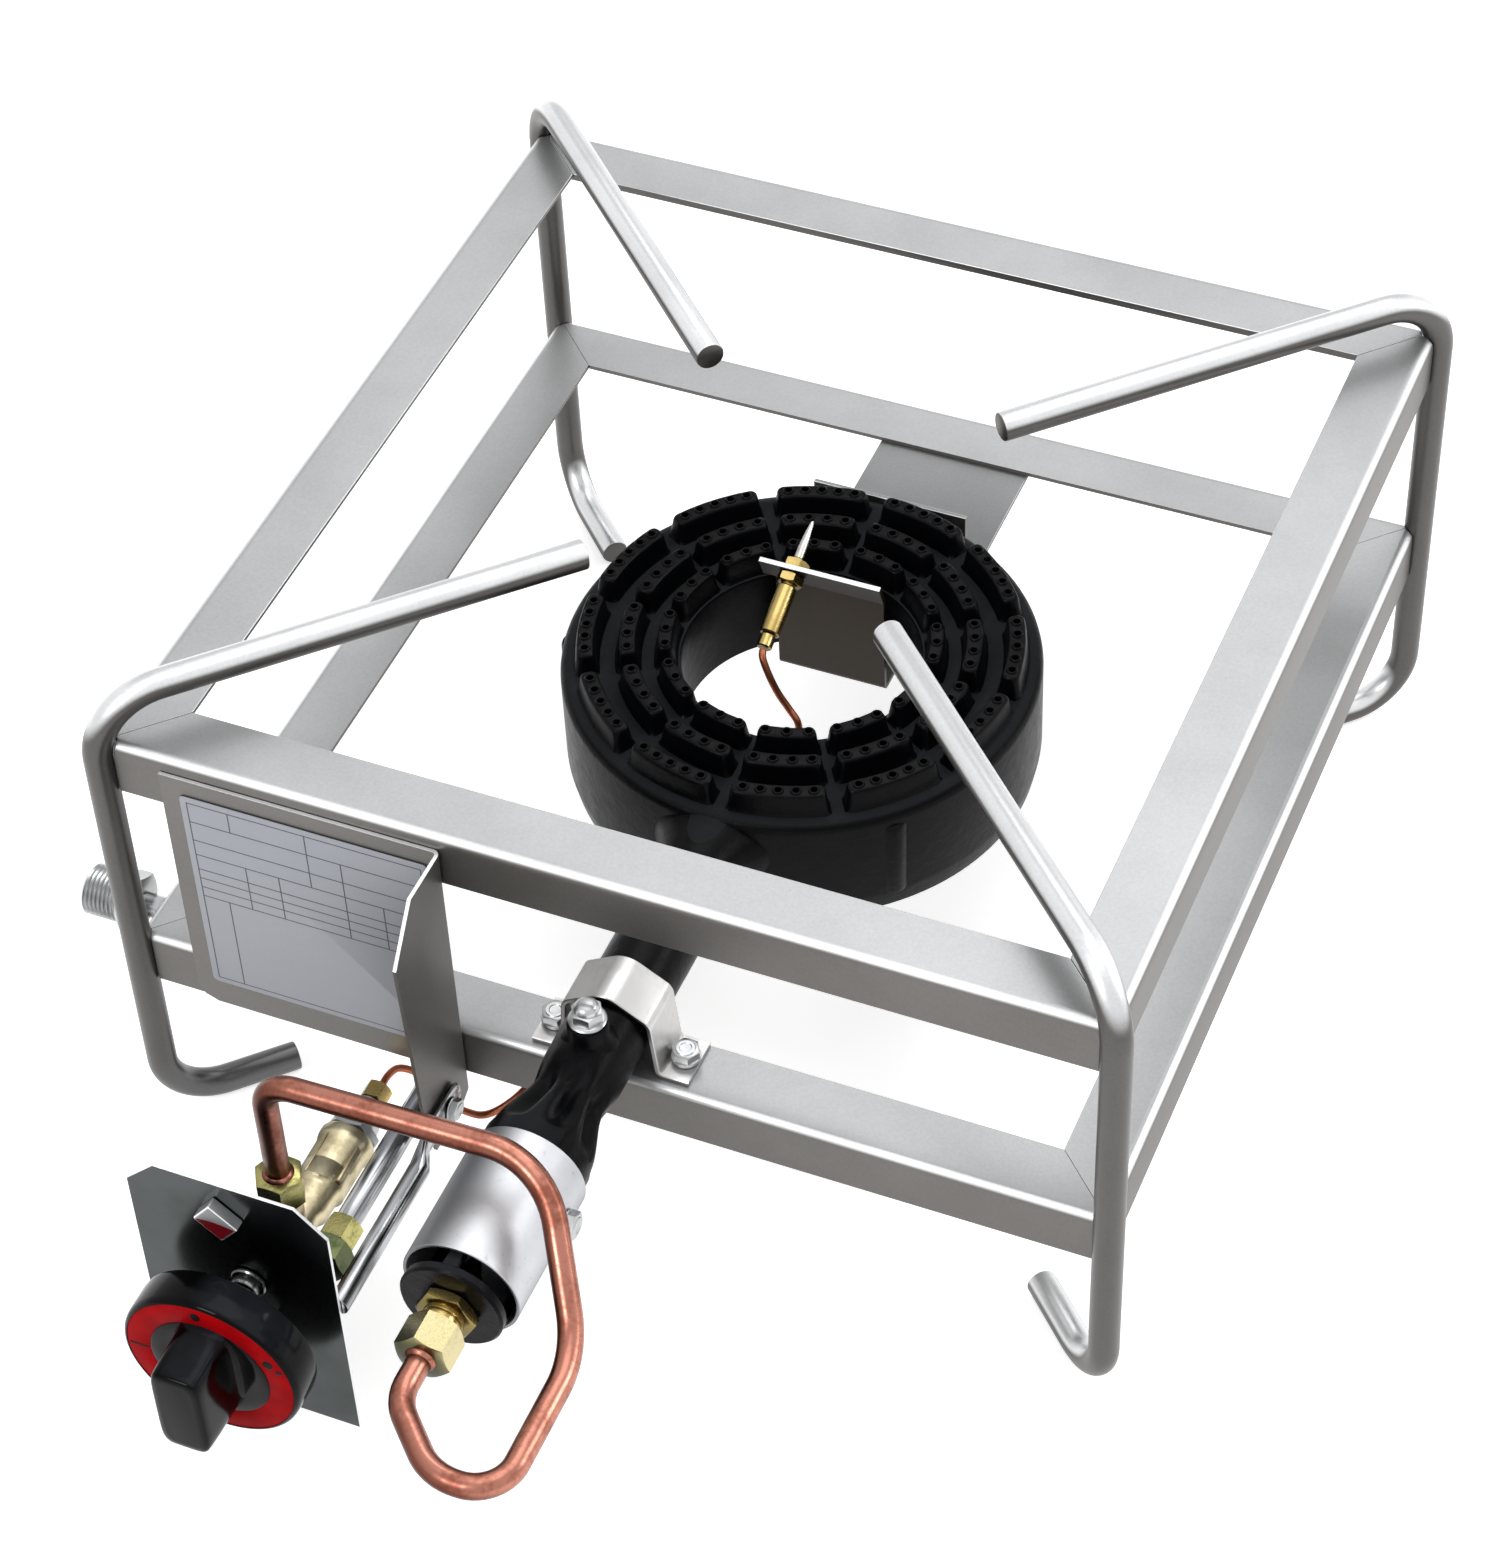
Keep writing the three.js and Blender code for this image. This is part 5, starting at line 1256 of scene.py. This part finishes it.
rounded_bar(mesh, 1.0, 1.2, 24, seam_start, BACK, seam, 0.3)
stands_for(finished("tap_body_cast", mesh, "tap", 40), "tap_body")
print("tap body's length in mm", round(BARREL[-1][1] - BARREL[0][1], 1))

# %% [markdown]
# In front of the inlet nut sits the hexagon of the inlet's elbow, dark green from its plating. It is a
# separate part on the real tap, so it is an extra piece of its own, a little out of line with its nut.

# %% Elbow's hexagon
ELBOW = at(INLET_X, -302.2, INLET_Z)
mesh = bmesh.new()
hexagon(mesh, 17, 10.5, ELBOW, BACK, twist=12)
turned(mesh, [(7.0, 10.0), (7.4, 10.4), (7.4, 11.2)], ELBOW, BACK, 40)
elbow = extra(finished("inlet_elbow_hexagon", mesh, "dark_olive"), "frame")
print("elbow's hexagon has faces", len(elbow.data.polygons))

# %% [markdown]
# Gas comes in at the left through a threaded nipple and a plated pipe. A thread is a helix, but a helix is
# hard to close at its ends. Its crests are turned one by one at the true pitch instead, which looks the
# same from outside and keeps the body closed.

# %% Gas inlet
NIPPLE = Vector((low_of("inlet_nipple").x, middle_of("inlet_nipple").y, middle_of("inlet_nipple").z))
THREAD, THREAD_DEPTH, PITCH, THREAD_LENGTH, BORE = 10.5, 1.05, 1.9, 16.0, 7.0
PIPE = 5.0
PIPE_CORNERS = (
    (-213.8, -175, 91.5), (-110, -175, 91.5), (INLET_X, -190, INLET_Z), (INLET_X, -281.5, INLET_Z),
)


def thread_profile():
    """A groove at each pitch between two chamfered ends, round a bore."""
    start = [(BORE, 0.2), (BORE + 0.3, 0), (THREAD - 1.4, 0), (THREAD - 1.0, 0.3)]
    crests = [(THREAD - THREAD_DEPTH * (k % 2), 0.3 + (k + 1) * PITCH / 2) for k in range(16)]
    return start + crests + [(THREAD - 1, THREAD_LENGTH), (BORE, THREAD_LENGTH)]


mesh = bmesh.new()
turned(mesh, thread_profile(), NIPPLE, RIGHT, 56, True)
hexagon(mesh, 22, 8, NIPPLE + RIGHT * 15.9 * MM, RIGHT, 4.3)
stands_for(finished("inlet_nipple_turned", mesh, "zinc", 50), "inlet_nipple")
mesh = bmesh.new()
swept(mesh, rounded_route([at(*corner) for corner in PIPE_CORNERS], (18, 18), 12), PIPE, 28, 0.3)
stands_for(finished("inlet_pipe_bent", mesh, "chrome"), "inlet_pipe")
print("thread's turns", round(THREAD_LENGTH / PITCH, 1), "and diameter in mm", 2 * THREAD)

# %% [markdown]
# A flat nut behind the panel holds the tap in its hole. Above the knob a small slanted prism points at the
# dial: bright chrome at its rim, brushed on its face, and dark red enamel on the lower half. A picture of
# this would be flat from the side, so the face and the enamel are thin layers set into each other.

# %% Bushing nut and pointer
bushing = middle_of("bushing_nut")
nut_piece("bushing_nut", 20, 6, Vector((bushing.x, high_of("bushing_nut").y, bushing.z)), FRONT, 8.2, "zinc")
POINTER = [(-9.1, -0.3), (-1.7, 9.3), (9.1, 0.1), (1.7, -9.1)]
POINTER_SHIFT = 0.6
ENAMEL_SWELL, ENAMEL_LEAN = 6.4, 0.45
INDEX = middle_of("index_mark") + RIGHT * POINTER_SHIFT * MM
index_back = high_of("index_mark").y


def layer(outline, share, depth):
    """An outline at a share of its full size, this far in front of the pointer's back."""
    back, full = Vector((INDEX.x, index_back - depth * MM, INDEX.z)), share * MM
    return [back + Vector((x * full, 0, z * full)) for x, z in outline]


def pointer_piece(name, outline, levels, finish):
    mesh = bmesh.new()
    skin(mesh, [layer(outline, share, depth) for share, depth in levels])
    return finished(name, mesh, finish, 20)


cut_corners = []
for corner, after in zip(POINTER, POINTER[1:] + POINTER[:1]):
    for step in (0.04, 0.96):
        cut_corners.append([corner[i] + (after[i] - corner[i]) * step for i in (0, 1)])
rim_levels = ((0.97, 0), (1, 0.3), (1, 4.6), (0.975, 4.85), (0.94, 4.9))
stands_for(pointer_piece("pointer_diamond", cut_corners, rim_levels, "pointer"), "index_mark")
face_levels = ((0.92, 4.5), (0.92, 4.98), (0.9, 5.0))
extra(pointer_piece("pointer_face", cut_corners, face_levels, "pointer_face"), "frame")

left, top, right, low = POINTER
lower_half = []
for t in (0, 0.15, 0.3, 0.45, 0.6, 0.8, 1):
    swell = ENAMEL_SWELL * t * (1 - t) * (1 - ENAMEL_LEAN * t)
    lower_half.append((left[0] + (right[0] - left[0]) * t, left[1] + swell))
lower_half += [(low[0] + 0.5, low[1] + 0.35), (low[0] - 0.5, low[1] + 0.35)]
enamel_levels = ((0.89, 4.7), (0.89, 5.08), (0.88, 5.12))
extra(pointer_piece("pointer_enamel", lower_half, enamel_levels, "enamel"), "frame")
print("pointer's width and height in mm", round(right[0] - left[0], 1), round(top[1] - low[1], 1))

# %% [markdown]
# A flanged screw above the knob holds the tap to the panel, with a nut behind. Only the top of its head shows
# over the knob's rim, so its drive isn't cut: the head is one turned dome on a thin flange.

# %% Panel screw
screw = Vector((middle_of("panel_screw").x, index_back, middle_of("panel_screw").z))
screw_back = (high_of("panel_screw").y - index_back) / MM
screw_flange = [(6.7, 0), (7.2, 0.3), (7.2, 1.0), (6.7, 1.6), (5.0, 1.9)]
screw_dome = [(5.6, 1.5), (5.8, 2.0), (5.8, 4.0), (5.4, 5.2), (4.2, 6.2), (2.4, 6.8), (0.8, 7.0)]
screw_shank = [(2.0, -screw_back), (2.5, 0.5 - screw_back), (2.5, 0.2)]
mesh = bmesh.new()
for profile, sides in ((screw_flange, 48), (screw_dome, 48), (screw_shank, 24)):
    turned(mesh, profile, screw, FRONT, sides)
stands_for(finished("panel_screw_turned", mesh, "screw"), "panel_screw")
nut_seat = Vector((screw.x, low_of("panel_screw_nut").y, screw.z))
nut_piece("panel_screw_nut", 9, 4, nut_seat, BACK, 2.6, "zinc")
print("panel screw reaches behind its panel by mm", round(screw_back, 2))

# %% [markdown]
# The knob is one moulding: a thick skirt with a groove for the red ring, and a tall grip that spreads into
# the face at its foot. The skirt is turned. The grip could be a block with bevels, but its sides are drafted
# and its foot is hollow, so it is skinned from rounded rectangles. Each level gives the grip's width, length
# and height above the face, and a power: 2 is an ellipse, and a higher one has squarer corners.

# %% Knob
KNOB_BACK = at(TAP_X, -338.5, TAP_Z)
KNOB, KNOB_DEPTH = 36.3, 16.5
RING_OUT, RING_IN = 34.2, 24.6
GRIP_LIFT = 1.4
GRIP_LEVELS = (
    (28, 47, -0.9, 3.2), (25.4, 45.6, 0.3, 3.6), (23.2, 44.4, 2.4, 4.2), (22, 43.9, 5.8, 5),
    (21.4, 43.6, 10, 5.6), (21, 43.2, 15, 6), (20.6, 42.8, 20, 6), (20.2, 42.4, 22.4, 6),
    (19.4, 41.6, 23.3, 6), (18, 40.2, 23.8, 6), (14, 36.4, 24, 5),
)


def grip_section(width, length, depth, power, count=64):
    ring = []
    for i in range(count):
        angle = 2 * math.pi * i / count
        c, s = math.cos(angle), math.sin(angle)
        x = math.copysign(abs(c) ** (2 / power), c) * width / 2
        z = math.copysign(abs(s) ** (2 / power), s) * length / 2
        ring.append(KNOB_BACK + Vector((x, -depth, z + GRIP_LIFT)) * MM)
    return ring


face = KNOB_DEPTH
skirt = [(30, 0), (34.6, 0), (36.0, 0.9), (KNOB, 2.6), (KNOB, face - 3.2), (36.0, face - 1.5)]
skirt += [(35.3, face - 0.4), (34.5, face), (RING_OUT + 0.15, face - 0.15), (RING_OUT + 0.1, face - 1.2)]
skirt += [(RING_IN - 0.1, face - 1.2), (RING_IN - 0.15, face - 0.2), (RING_IN - 0.8, face + 0.1)]
skirt += [(19, face - 0.3), (4, face - 0.5)]
mesh = bmesh.new()
turned(mesh, skirt, KNOB_BACK, FRONT, 96)
skin(mesh, [grip_section(width, length, face + depth, power) for width, length, depth, power in GRIP_LEVELS])
stands_for(finished("knob_moulded", mesh, "knob", 32), "knob")
print("knob's depth with its grip in mm", KNOB_DEPTH + GRIP_LEVELS[-1][2])

# %% [markdown]
# The red ring lies in the knob's groove, a hair below the face, with its own broken edges. On the real knob
# it is a printed disc. Drawn in the finish its edge would blur, so it is a thin turned ring.

# %% Red ring
ring_face = KNOB_DEPTH - 0.2
ring_section = [(RING_IN, ring_face - 0.9), (RING_OUT, ring_face - 0.9), (RING_OUT, ring_face - 0.1)]
ring_section += [(RING_OUT - 0.2, ring_face), (RING_IN + 0.2, ring_face), (RING_IN, ring_face - 0.1)]
mesh = bmesh.new()
turned(mesh, ring_section, KNOB_BACK, FRONT, 96, True)
stands_for(finished("red_dial_ring", mesh, "red"), "knob_ring")
print("red ring's width in mm", round(RING_OUT - RING_IN, 1))

# %% [markdown]
# The dial carries plain marks only: dots for the flame's positions and a line for off. They are flat bodies
# that stand a tenth of a millimetre out of the ring, as a thick print does, and they turn with the knob.

# %% Dial marks
RING_MIDDLE = (RING_IN + RING_OUT) / 2


def dial_mark(mesh, angle, width, inner, outer):
    """A flat printed bar across the ring, at degrees turned from the top."""
    turn = Matrix.Rotation(math.radians(angle), 3, "Y")
    corners = [(-width / 2, inner), (width / 2, inner), (width / 2, outer), (-width / 2, outer)]
    rings = []
    for depth in (ring_face - 0.2, ring_face + 0.12):
        rings.append([KNOB_BACK + turn @ Vector((x, 0, z)) * MM + FRONT * depth * MM for x, z in corners])
    skin(mesh, rings)


def dial_dot(mesh, angle, radius, reach):
    turn = Matrix.Rotation(math.radians(angle), 3, "Y")
    centre = KNOB_BACK + turn @ Vector((0, 0, reach)) * MM + FRONT * (ring_face - 0.2) * MM
    turned(mesh, [(radius, 0), (radius, 0.3), (radius * 0.9, 0.34)], centre, FRONT, 24)


mesh = bmesh.new()
dial_dot(mesh, -4, 2.1, RING_MIDDLE)
dial_mark(mesh, -90, 1.1, RING_IN + 0.8, RING_OUT - 0.8)
dial_dot(mesh, 62, 2.1, RING_MIDDLE - 0.4)
dial_dot(mesh, 70, 1.2, RING_MIDDLE + 2.2)
marks = extra(finished("dial_marks", mesh, "mark"), "knob")
print("dial marks have faces", len(marks.data.polygons))

# %% [markdown]
# The spindle carries the knob and slides in the tap when the knob is pressed. Only a glimpse of it shows
# behind the skirt, so it is a plain turned pin with a step.

# %% Spindle
spindle_low, spindle_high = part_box("spindle")
STEM = (spindle_high.y - spindle_low.y) / MM
STEP = STEM - 12
spindle_start = Vector((middle_of("spindle").x, spindle_low.y, middle_of("spindle").z))
pin = [(3.6, 0), (4, 0.4), (4, STEP - 0.6), (3.6, STEP - 0.1), (2.6, STEP), (2.6, STEM - 0.4), (2.2, STEM)]
mesh = bmesh.new()
turned(mesh, pin, spindle_start, BACK, 36)
stands_for(finished("spindle_turned", mesh, "nickel"), "spindle")
print("spindle's length in mm", round(STEM, 1))

# %% [markdown]
# The plate carries a label of thin foil. It is kept bare: a printed frame and empty ruled cells, which is all
# that a blank form has. The lines are print and have no thickness, so they belong in the finish and not in
# the mesh. Each line is a mask of the distance across or down the foil, and the foil has a faint mottling.

# %% Bare label's finish
LABEL_LOW, LABEL_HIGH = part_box("bare_label")
LABEL_WIDTH = (LABEL_HIGH.x - LABEL_LOW.x) / MM
LABEL_HEIGHT = (LABEL_HIGH.z - LABEL_LOW.z) / MM
HALF_LINE, MARGIN = 0.28, 2.6
FRAME_LINE = MARGIN + 0.3
ROWS = (FRAME_LINE, 13, 23, 31, 39, 44, 49, 54, LABEL_HEIGHT - FRAME_LINE)
COLUMNS = (
    (20, 2.6, 13), (52, 2.6, 31), (24, 31, 54), (38, 31, 54), (66, 13, 54), (82, 31, 54), (14, 54, 200),
)
FOIL_DARK, FOIL_PALE, FOIL_PRINT = (0.34, 0.355, 0.4), (0.44, 0.455, 0.49), (0.05, 0.05, 0.06)


def label_foil():
    paint = Paint("bare_label_foil")
    across = (paint.axis(paint.place, "X") - LABEL_LOW.x) / MM
    down = (LABEL_HIGH.z - paint.axis(paint.place, "Z")) / MM

    def line(distance, where):
        return (distance - where).size() < HALF_LINE

    inside = (across > MARGIN) * (across < LABEL_WIDTH - MARGIN)
    inside = inside * (down > MARGIN) * (down < LABEL_HEIGHT - MARGIN)
    ruled = line(across, FRAME_LINE) + line(across, LABEL_WIDTH - FRAME_LINE)
    for where in ROWS:
        ruled = ruled + line(down, where)
    for where, top, bottom in COLUMNS:
        ruled = ruled + line(across, where) * (down > top) * (down < bottom)
    printed = (ruled * inside).clipped()
    cloud = paint.noise(22, 3.0)
    fleck = paint.noise(0.8, 2.0)
    foil = paint.mix(FOIL_DARK, FOIL_PALE, cloud * 0.6 + fleck * 0.4)
    paint.feed("Base Color", paint.mix(foil, FOIL_PRINT, printed * 0.85))
    paint.feed("Roughness", 0.42 + cloud * 0.12 + printed * 0.1)
    paint.feed("Metallic", 0.35 - printed * 0.3)
    paint.bump(fleck * 0.4 + cloud * 0.6, 0.03)
    return paint.material


FINISH["label"] = label_foil()
print("label's width and height in mm", round(LABEL_WIDTH, 1), round(LABEL_HEIGHT, 1))

# %% [markdown]
# The foil itself is a thin sheet with round corners. A plane would have no edge to catch the light, so it is
# skinned from four outlines, the outer two a little smaller, which gives it a soft rim.

# %% Bare label
LABEL_CORNER = 2.0
inner_low = Vector((LABEL_LOW.x, 0, LABEL_LOW.z)) + Vector((1, 0, 1)) * LABEL_CORNER * MM
inner_high = Vector((LABEL_HIGH.x, 0, LABEL_HIGH.z)) - Vector((1, 0, 1)) * LABEL_CORNER * MM
hubs = ((inner_high.x, inner_high.z, 0), (inner_low.x, inner_high.z, 90))
hubs += ((inner_low.x, inner_low.z, 180), (inner_high.x, inner_low.z, 270))
rings = []
for inset, depth in ((0.25, 0), (0, 0.1), (0, 0.35), (0.25, 0.5)):
    reach, y = (LABEL_CORNER - inset) * MM, LABEL_HIGH.y - depth * MM
    ring = []
    for x, z, start in hubs:
        turns = [math.radians(start + 90 * k / 4) for k in range(5)]
        ring += [Vector((x + reach * math.cos(turn), y, z + reach * math.sin(turn))) for turn in turns]
    rings.append(ring)
mesh = bmesh.new()
skin(mesh, rings)
label = stands_for(finished("bare_label_foil", mesh, "label"), "bare_label")
print("label has faces", len(label.data.polygons))

# %% [markdown]
# The thermocouple stands in the middle of the burner: a brass body through the bracket's flange with a nut on
# each side, and a pale needle whose tip sits in the flames. All of it shares one leaning axis, so each piece
# is a profile turned about the same line, measured from the flange.

# %% Thermocouple
TILT = math.radians(22)
AIM = Vector((0, math.cos(TILT), math.sin(TILT)))
SEAT = at(-15.6, 32 - math.sin(TILT) * 5.5, 151.6 + math.cos(TILT) * 5.5)
FLANGE_BACK, FLANGE_FRONT = 1.3, 5.3
probe_body = [(3.7, -28.3), (4.2, -27.8), (4.3, -24), (4.3, -7), (3.6, -6.3), (3, -6.2), (3, 6.1), (2.7, 6.3)]
needle = [(1.6, 6.6), (2.0, 7), (1.95, 12), (1.7, 15.5), (1.3, 19), (0.9, 22.5), (0.6, 24.2), (0.25, 24.6)]
ferrule = [(2.7, -34.6), (3.2, -34.1), (3.2, -29.2), (2.8, -28.6)]
PROBE_PIECES = (
    ("thermocouple_body", "brass", probe_body),
    ("thermocouple_needle", "nickel", needle),
    ("probe_ferrule", "brass", ferrule),
)
for node, finish, profile in PROBE_PIECES:
    mesh = bmesh.new()
    turned(mesh, profile, SEAT, AIM, 32)
    stands_for(finished(node + "_turned", mesh, finish), node)
nut_piece("probe_nut_rear", 10, 4, SEAT + AIM * FLANGE_BACK * MM, AIM, 3.1, "brass")
nut_piece("probe_nut_front", 10, 4, SEAT - AIM * FLANGE_FRONT * MM, AIM, 3.1, "brass")
print("thermocouple leans back from level by degrees", round(math.degrees(TILT)), "and is long mm",
      round(needle[-1][1] - ferrule[0][1], 1))

# %% [markdown]
# A copper capillary carries the thermocouple's signal back to the magnet unit. It is a thin bent tube,
# fixed at both ends, so it lies where it was bent and doesn't hang. A pipe bender's straight runs would
# look stiff here: a fitter bends it by hand, so it is a smooth line through points, down through the
# burner, forward below the venturi, and in an arch into its nut.

# %% Capillary lead
LEAD, LEAD_NUT = 1.5, -212.4
LEAD_THROUGH = (
    (-14.8, -5.5, 142.3), (-11.5, -8, 136.3), (-7, -9, 127.4), (-1.7, -10, 120.6), (2.6, -12, 116.4),
    (3.5, -16, 106), (-1, -34, 91), (-14, -90, 86), (-33, -170, 79),
)
LEAD_LOOP = (
    (53.5, 14.4, 3), (43.5, 5.4, -3), (33.5, 6.4, -6.8), (19.5, 10.4, -7.6), (7.5, 16.4, -5.6),
    (1.5, 13, -1.5), (0, 7, 0), (0, 1, 0), (0, -9, 0),
)


def smooth_through(points, steps=10):
    """A smooth line through listed points."""
    line = []
    padded = [points[0] * 2 - points[1], *points, points[-1] * 2 - points[-2]]
    for p0, p1, p2, p3 in zip(padded, padded[1:], padded[2:], padded[3:]):
        a, b, c = (max((q - p).length, 1e-6) ** 0.5 for p, q in ((p0, p1), (p1, p2), (p2, p3)))
        leave = ((p1 - p0) / a - (p2 - p0) / (a + b) + (p2 - p1) / b) * b
        arrive = ((p2 - p1) / b - (p3 - p1) / (b + c) + (p3 - p2) / c) * b
        for s in range(steps):
            t = s / steps
            blend = (2 * t**3 - 3 * t**2 + 1, t**3 - 2 * t**2 + t, -2 * t**3 + 3 * t**2, t**3 - t**2)
            line.append(p1 * blend[0] + leave * blend[1] + p2 * blend[2] + arrive * blend[3])
    return line + [points[-1]]


route = [SEAT + AIM * -35.5 * MM] + [at(*point) for point in LEAD_THROUGH]
route += [at(TAP_X + x, LEAD_NUT + y, TAP_Z + z) for x, y, z in LEAD_LOOP]
lead_line = smooth_through(route, 8)
mesh = bmesh.new()
swept(mesh, lead_line, LEAD, 12, 0.1)
stands_for(finished("capillary_lead", mesh, "lead"), "thermocouple_lead")
print("lead's length in mm", round(sum((b - a).length for a, b in zip(lead_line, lead_line[1:])) / MM))

# %% [markdown]
# The floor is a large pale sheet. A bright lamp could turn it white, but would bleach the range too. So it is
# white only to the camera and to what metal and glass mirror, which Light Path tells, and it still takes the
# range's shadow. To all other light it is a mid grey, so that the undersides stay dark. It belongs to the
# stage and not to the range.

# %% Floor
REACH, FLOOR_DROP = 6.0, 0.5
WHITE, DARK, FLOOR_GREY = (1.0, 1.0, 1.0), (0.0, 0.0, 0.0), (0.42, 0.41, 0.4)
FLOOR_GLOW = 0.6


def seen_directly(shader):
    """1 for the camera's rays and those that metal and glass send on, else 0."""
    camera = shader.node("ShaderNodeLightPath", output="Is Camera Ray")
    glossy = shader.node("ShaderNodeLightPath", output="Is Glossy Ray")
    through = shader.node("ShaderNodeLightPath", output="Is Transmission Ray")
    return (camera + glossy + through).clipped()


floor_data = bpy.data.meshes.new("studio_floor")
corners = [(-REACH, -REACH, 0), (REACH, -REACH, 0), (REACH, REACH, 0), (-REACH, REACH, 0)]
floor_data.from_pydata(corners, [], [(0, 1, 2, 3)])
floor = bpy.data.objects.new("studio_floor", floor_data)
bpy.context.scene.collection.objects.link(floor)
floor.location.z = -FLOOR_DROP * MM
ground = Paint("pale_floor")
seen = seen_directly(ground)
ground.feed("Base Color", ground.mix(FLOOR_GREY, WHITE, seen))
ground.feed("Emission Color", ground.mix(DARK, WHITE, seen))
ground.plain(emission_strength=FLOOR_GLOW, roughness=1.0, specular_ior_level=0.0)
floor_data.materials.append(ground.material)
print("floor's side in metres", 2 * REACH)

# %% [markdown]
# The light is a plain soft studio: a lamp high at the front left, which gives the rods and folds their
# bright line, a broad one overhead, one behind whose light slides along the tops, and one at the right.
# They are large and weak, because a small strong lamp would draw hard shadows that a studio photograph
# doesn't have.

# %% Lamps
AIM_POINT = at(0, -40, 110)


def soft_lamp(name, place, size, power):
    lamp = bpy.data.lights.new(name, "AREA")
    lamp.shape = "RECTANGLE"
    lamp.size, lamp.size_y = size
    lamp.energy = power
    holder = bpy.data.objects.new(name, lamp)
    holder.location = place
    holder.rotation_euler = (AIM_POINT - Vector(place)).to_track_quat("-Z", "Y").to_euler()
    bpy.context.scene.collection.objects.link(holder)
    return holder


soft_lamp("front_lamp", (-0.7, -2.1, 1.9), (0.8, 0.8), 22)
soft_lamp("top_lamp", (0.1, 0.3, 2.6), (1.8, 1.8), 12)
soft_lamp("back_lamp", (-0.1, 1.65, 2.4), (1.8, 0.7), 10)
soft_lamp("right_lamp", (1.75, 1.0, 1.1), (0.8, 0.9), 12)
print("lamps", len(bpy.data.lights), "with watts in all", sum(lamp.energy for lamp in bpy.data.lights))

# %% [markdown]
# The world is the wall of the studio all round. It fills the shadows at half strength. The camera and the
# mirrors see it as white, by the same Light Path masks as the floor's.

# %% World
FILL = 0.5
world = bpy.data.worlds.new("studio")
bpy.context.scene.world = world
world.use_nodes = True
sky = Shader(world.node_tree)
background = sky.tree.nodes["Background"]
sky.give(background.inputs["Strength"], FILL + seen_directly(sky) * (1 - FILL))
sky.give(background.inputs["Color"], wide(WHITE))
print("world's fill", FILL)

# %% [markdown]
# The camera stands where the photograph was taken from: in front, to the right and well above, with a long
# lens. Its place was worked out from the photograph with the frame's own square as the ruler, and its small
# shift is what the photograph's framing needs.

# %% Camera
PHOTO_WIDTH, PHOTO_HEIGHT = 1500, 1552
FOCAL_PIXELS = 4132.7
CENTRE_X, CENTRE_Y = 765.1, 791.0
AZIMUTH, ELEVATION, ROLL = math.radians(24.277), math.radians(46.0), math.radians(-2.672)
CAMERA_PLACE = at(476.0, -1097.2, 1303.7)
view = bpy.data.cameras.new("photo_camera")
camera = bpy.data.objects.new("photo_camera", view)
bpy.context.scene.collection.objects.link(camera)
level_behind = Vector((math.sin(AZIMUTH), -math.cos(AZIMUTH), 0))
behind = level_behind * math.cos(ELEVATION) + UP * math.sin(ELEVATION)
level_right = Vector((math.cos(AZIMUTH), math.sin(AZIMUTH), 0))
level_up = behind.cross(level_right)
right = level_right * math.cos(ROLL) + level_up * math.sin(ROLL)
up = level_up * math.cos(ROLL) - level_right * math.sin(ROLL)
turn = Matrix((right, up, behind)).transposed().to_4x4()
camera.matrix_world = Matrix.Translation(CAMERA_PLACE) @ turn
view.sensor_width = 36
view.lens = FOCAL_PIXELS / PHOTO_HEIGHT * view.sensor_width
view.shift_x = (PHOTO_WIDTH / 2 - CENTRE_X) / PHOTO_HEIGHT
view.shift_y = (CENTRE_Y - PHOTO_HEIGHT / 2) / PHOTO_HEIGHT
view.clip_end = 50
bpy.context.scene.camera = camera
bpy.context.scene.view_settings.view_transform = "Standard"
print("lens in mm", round(view.lens, 2))
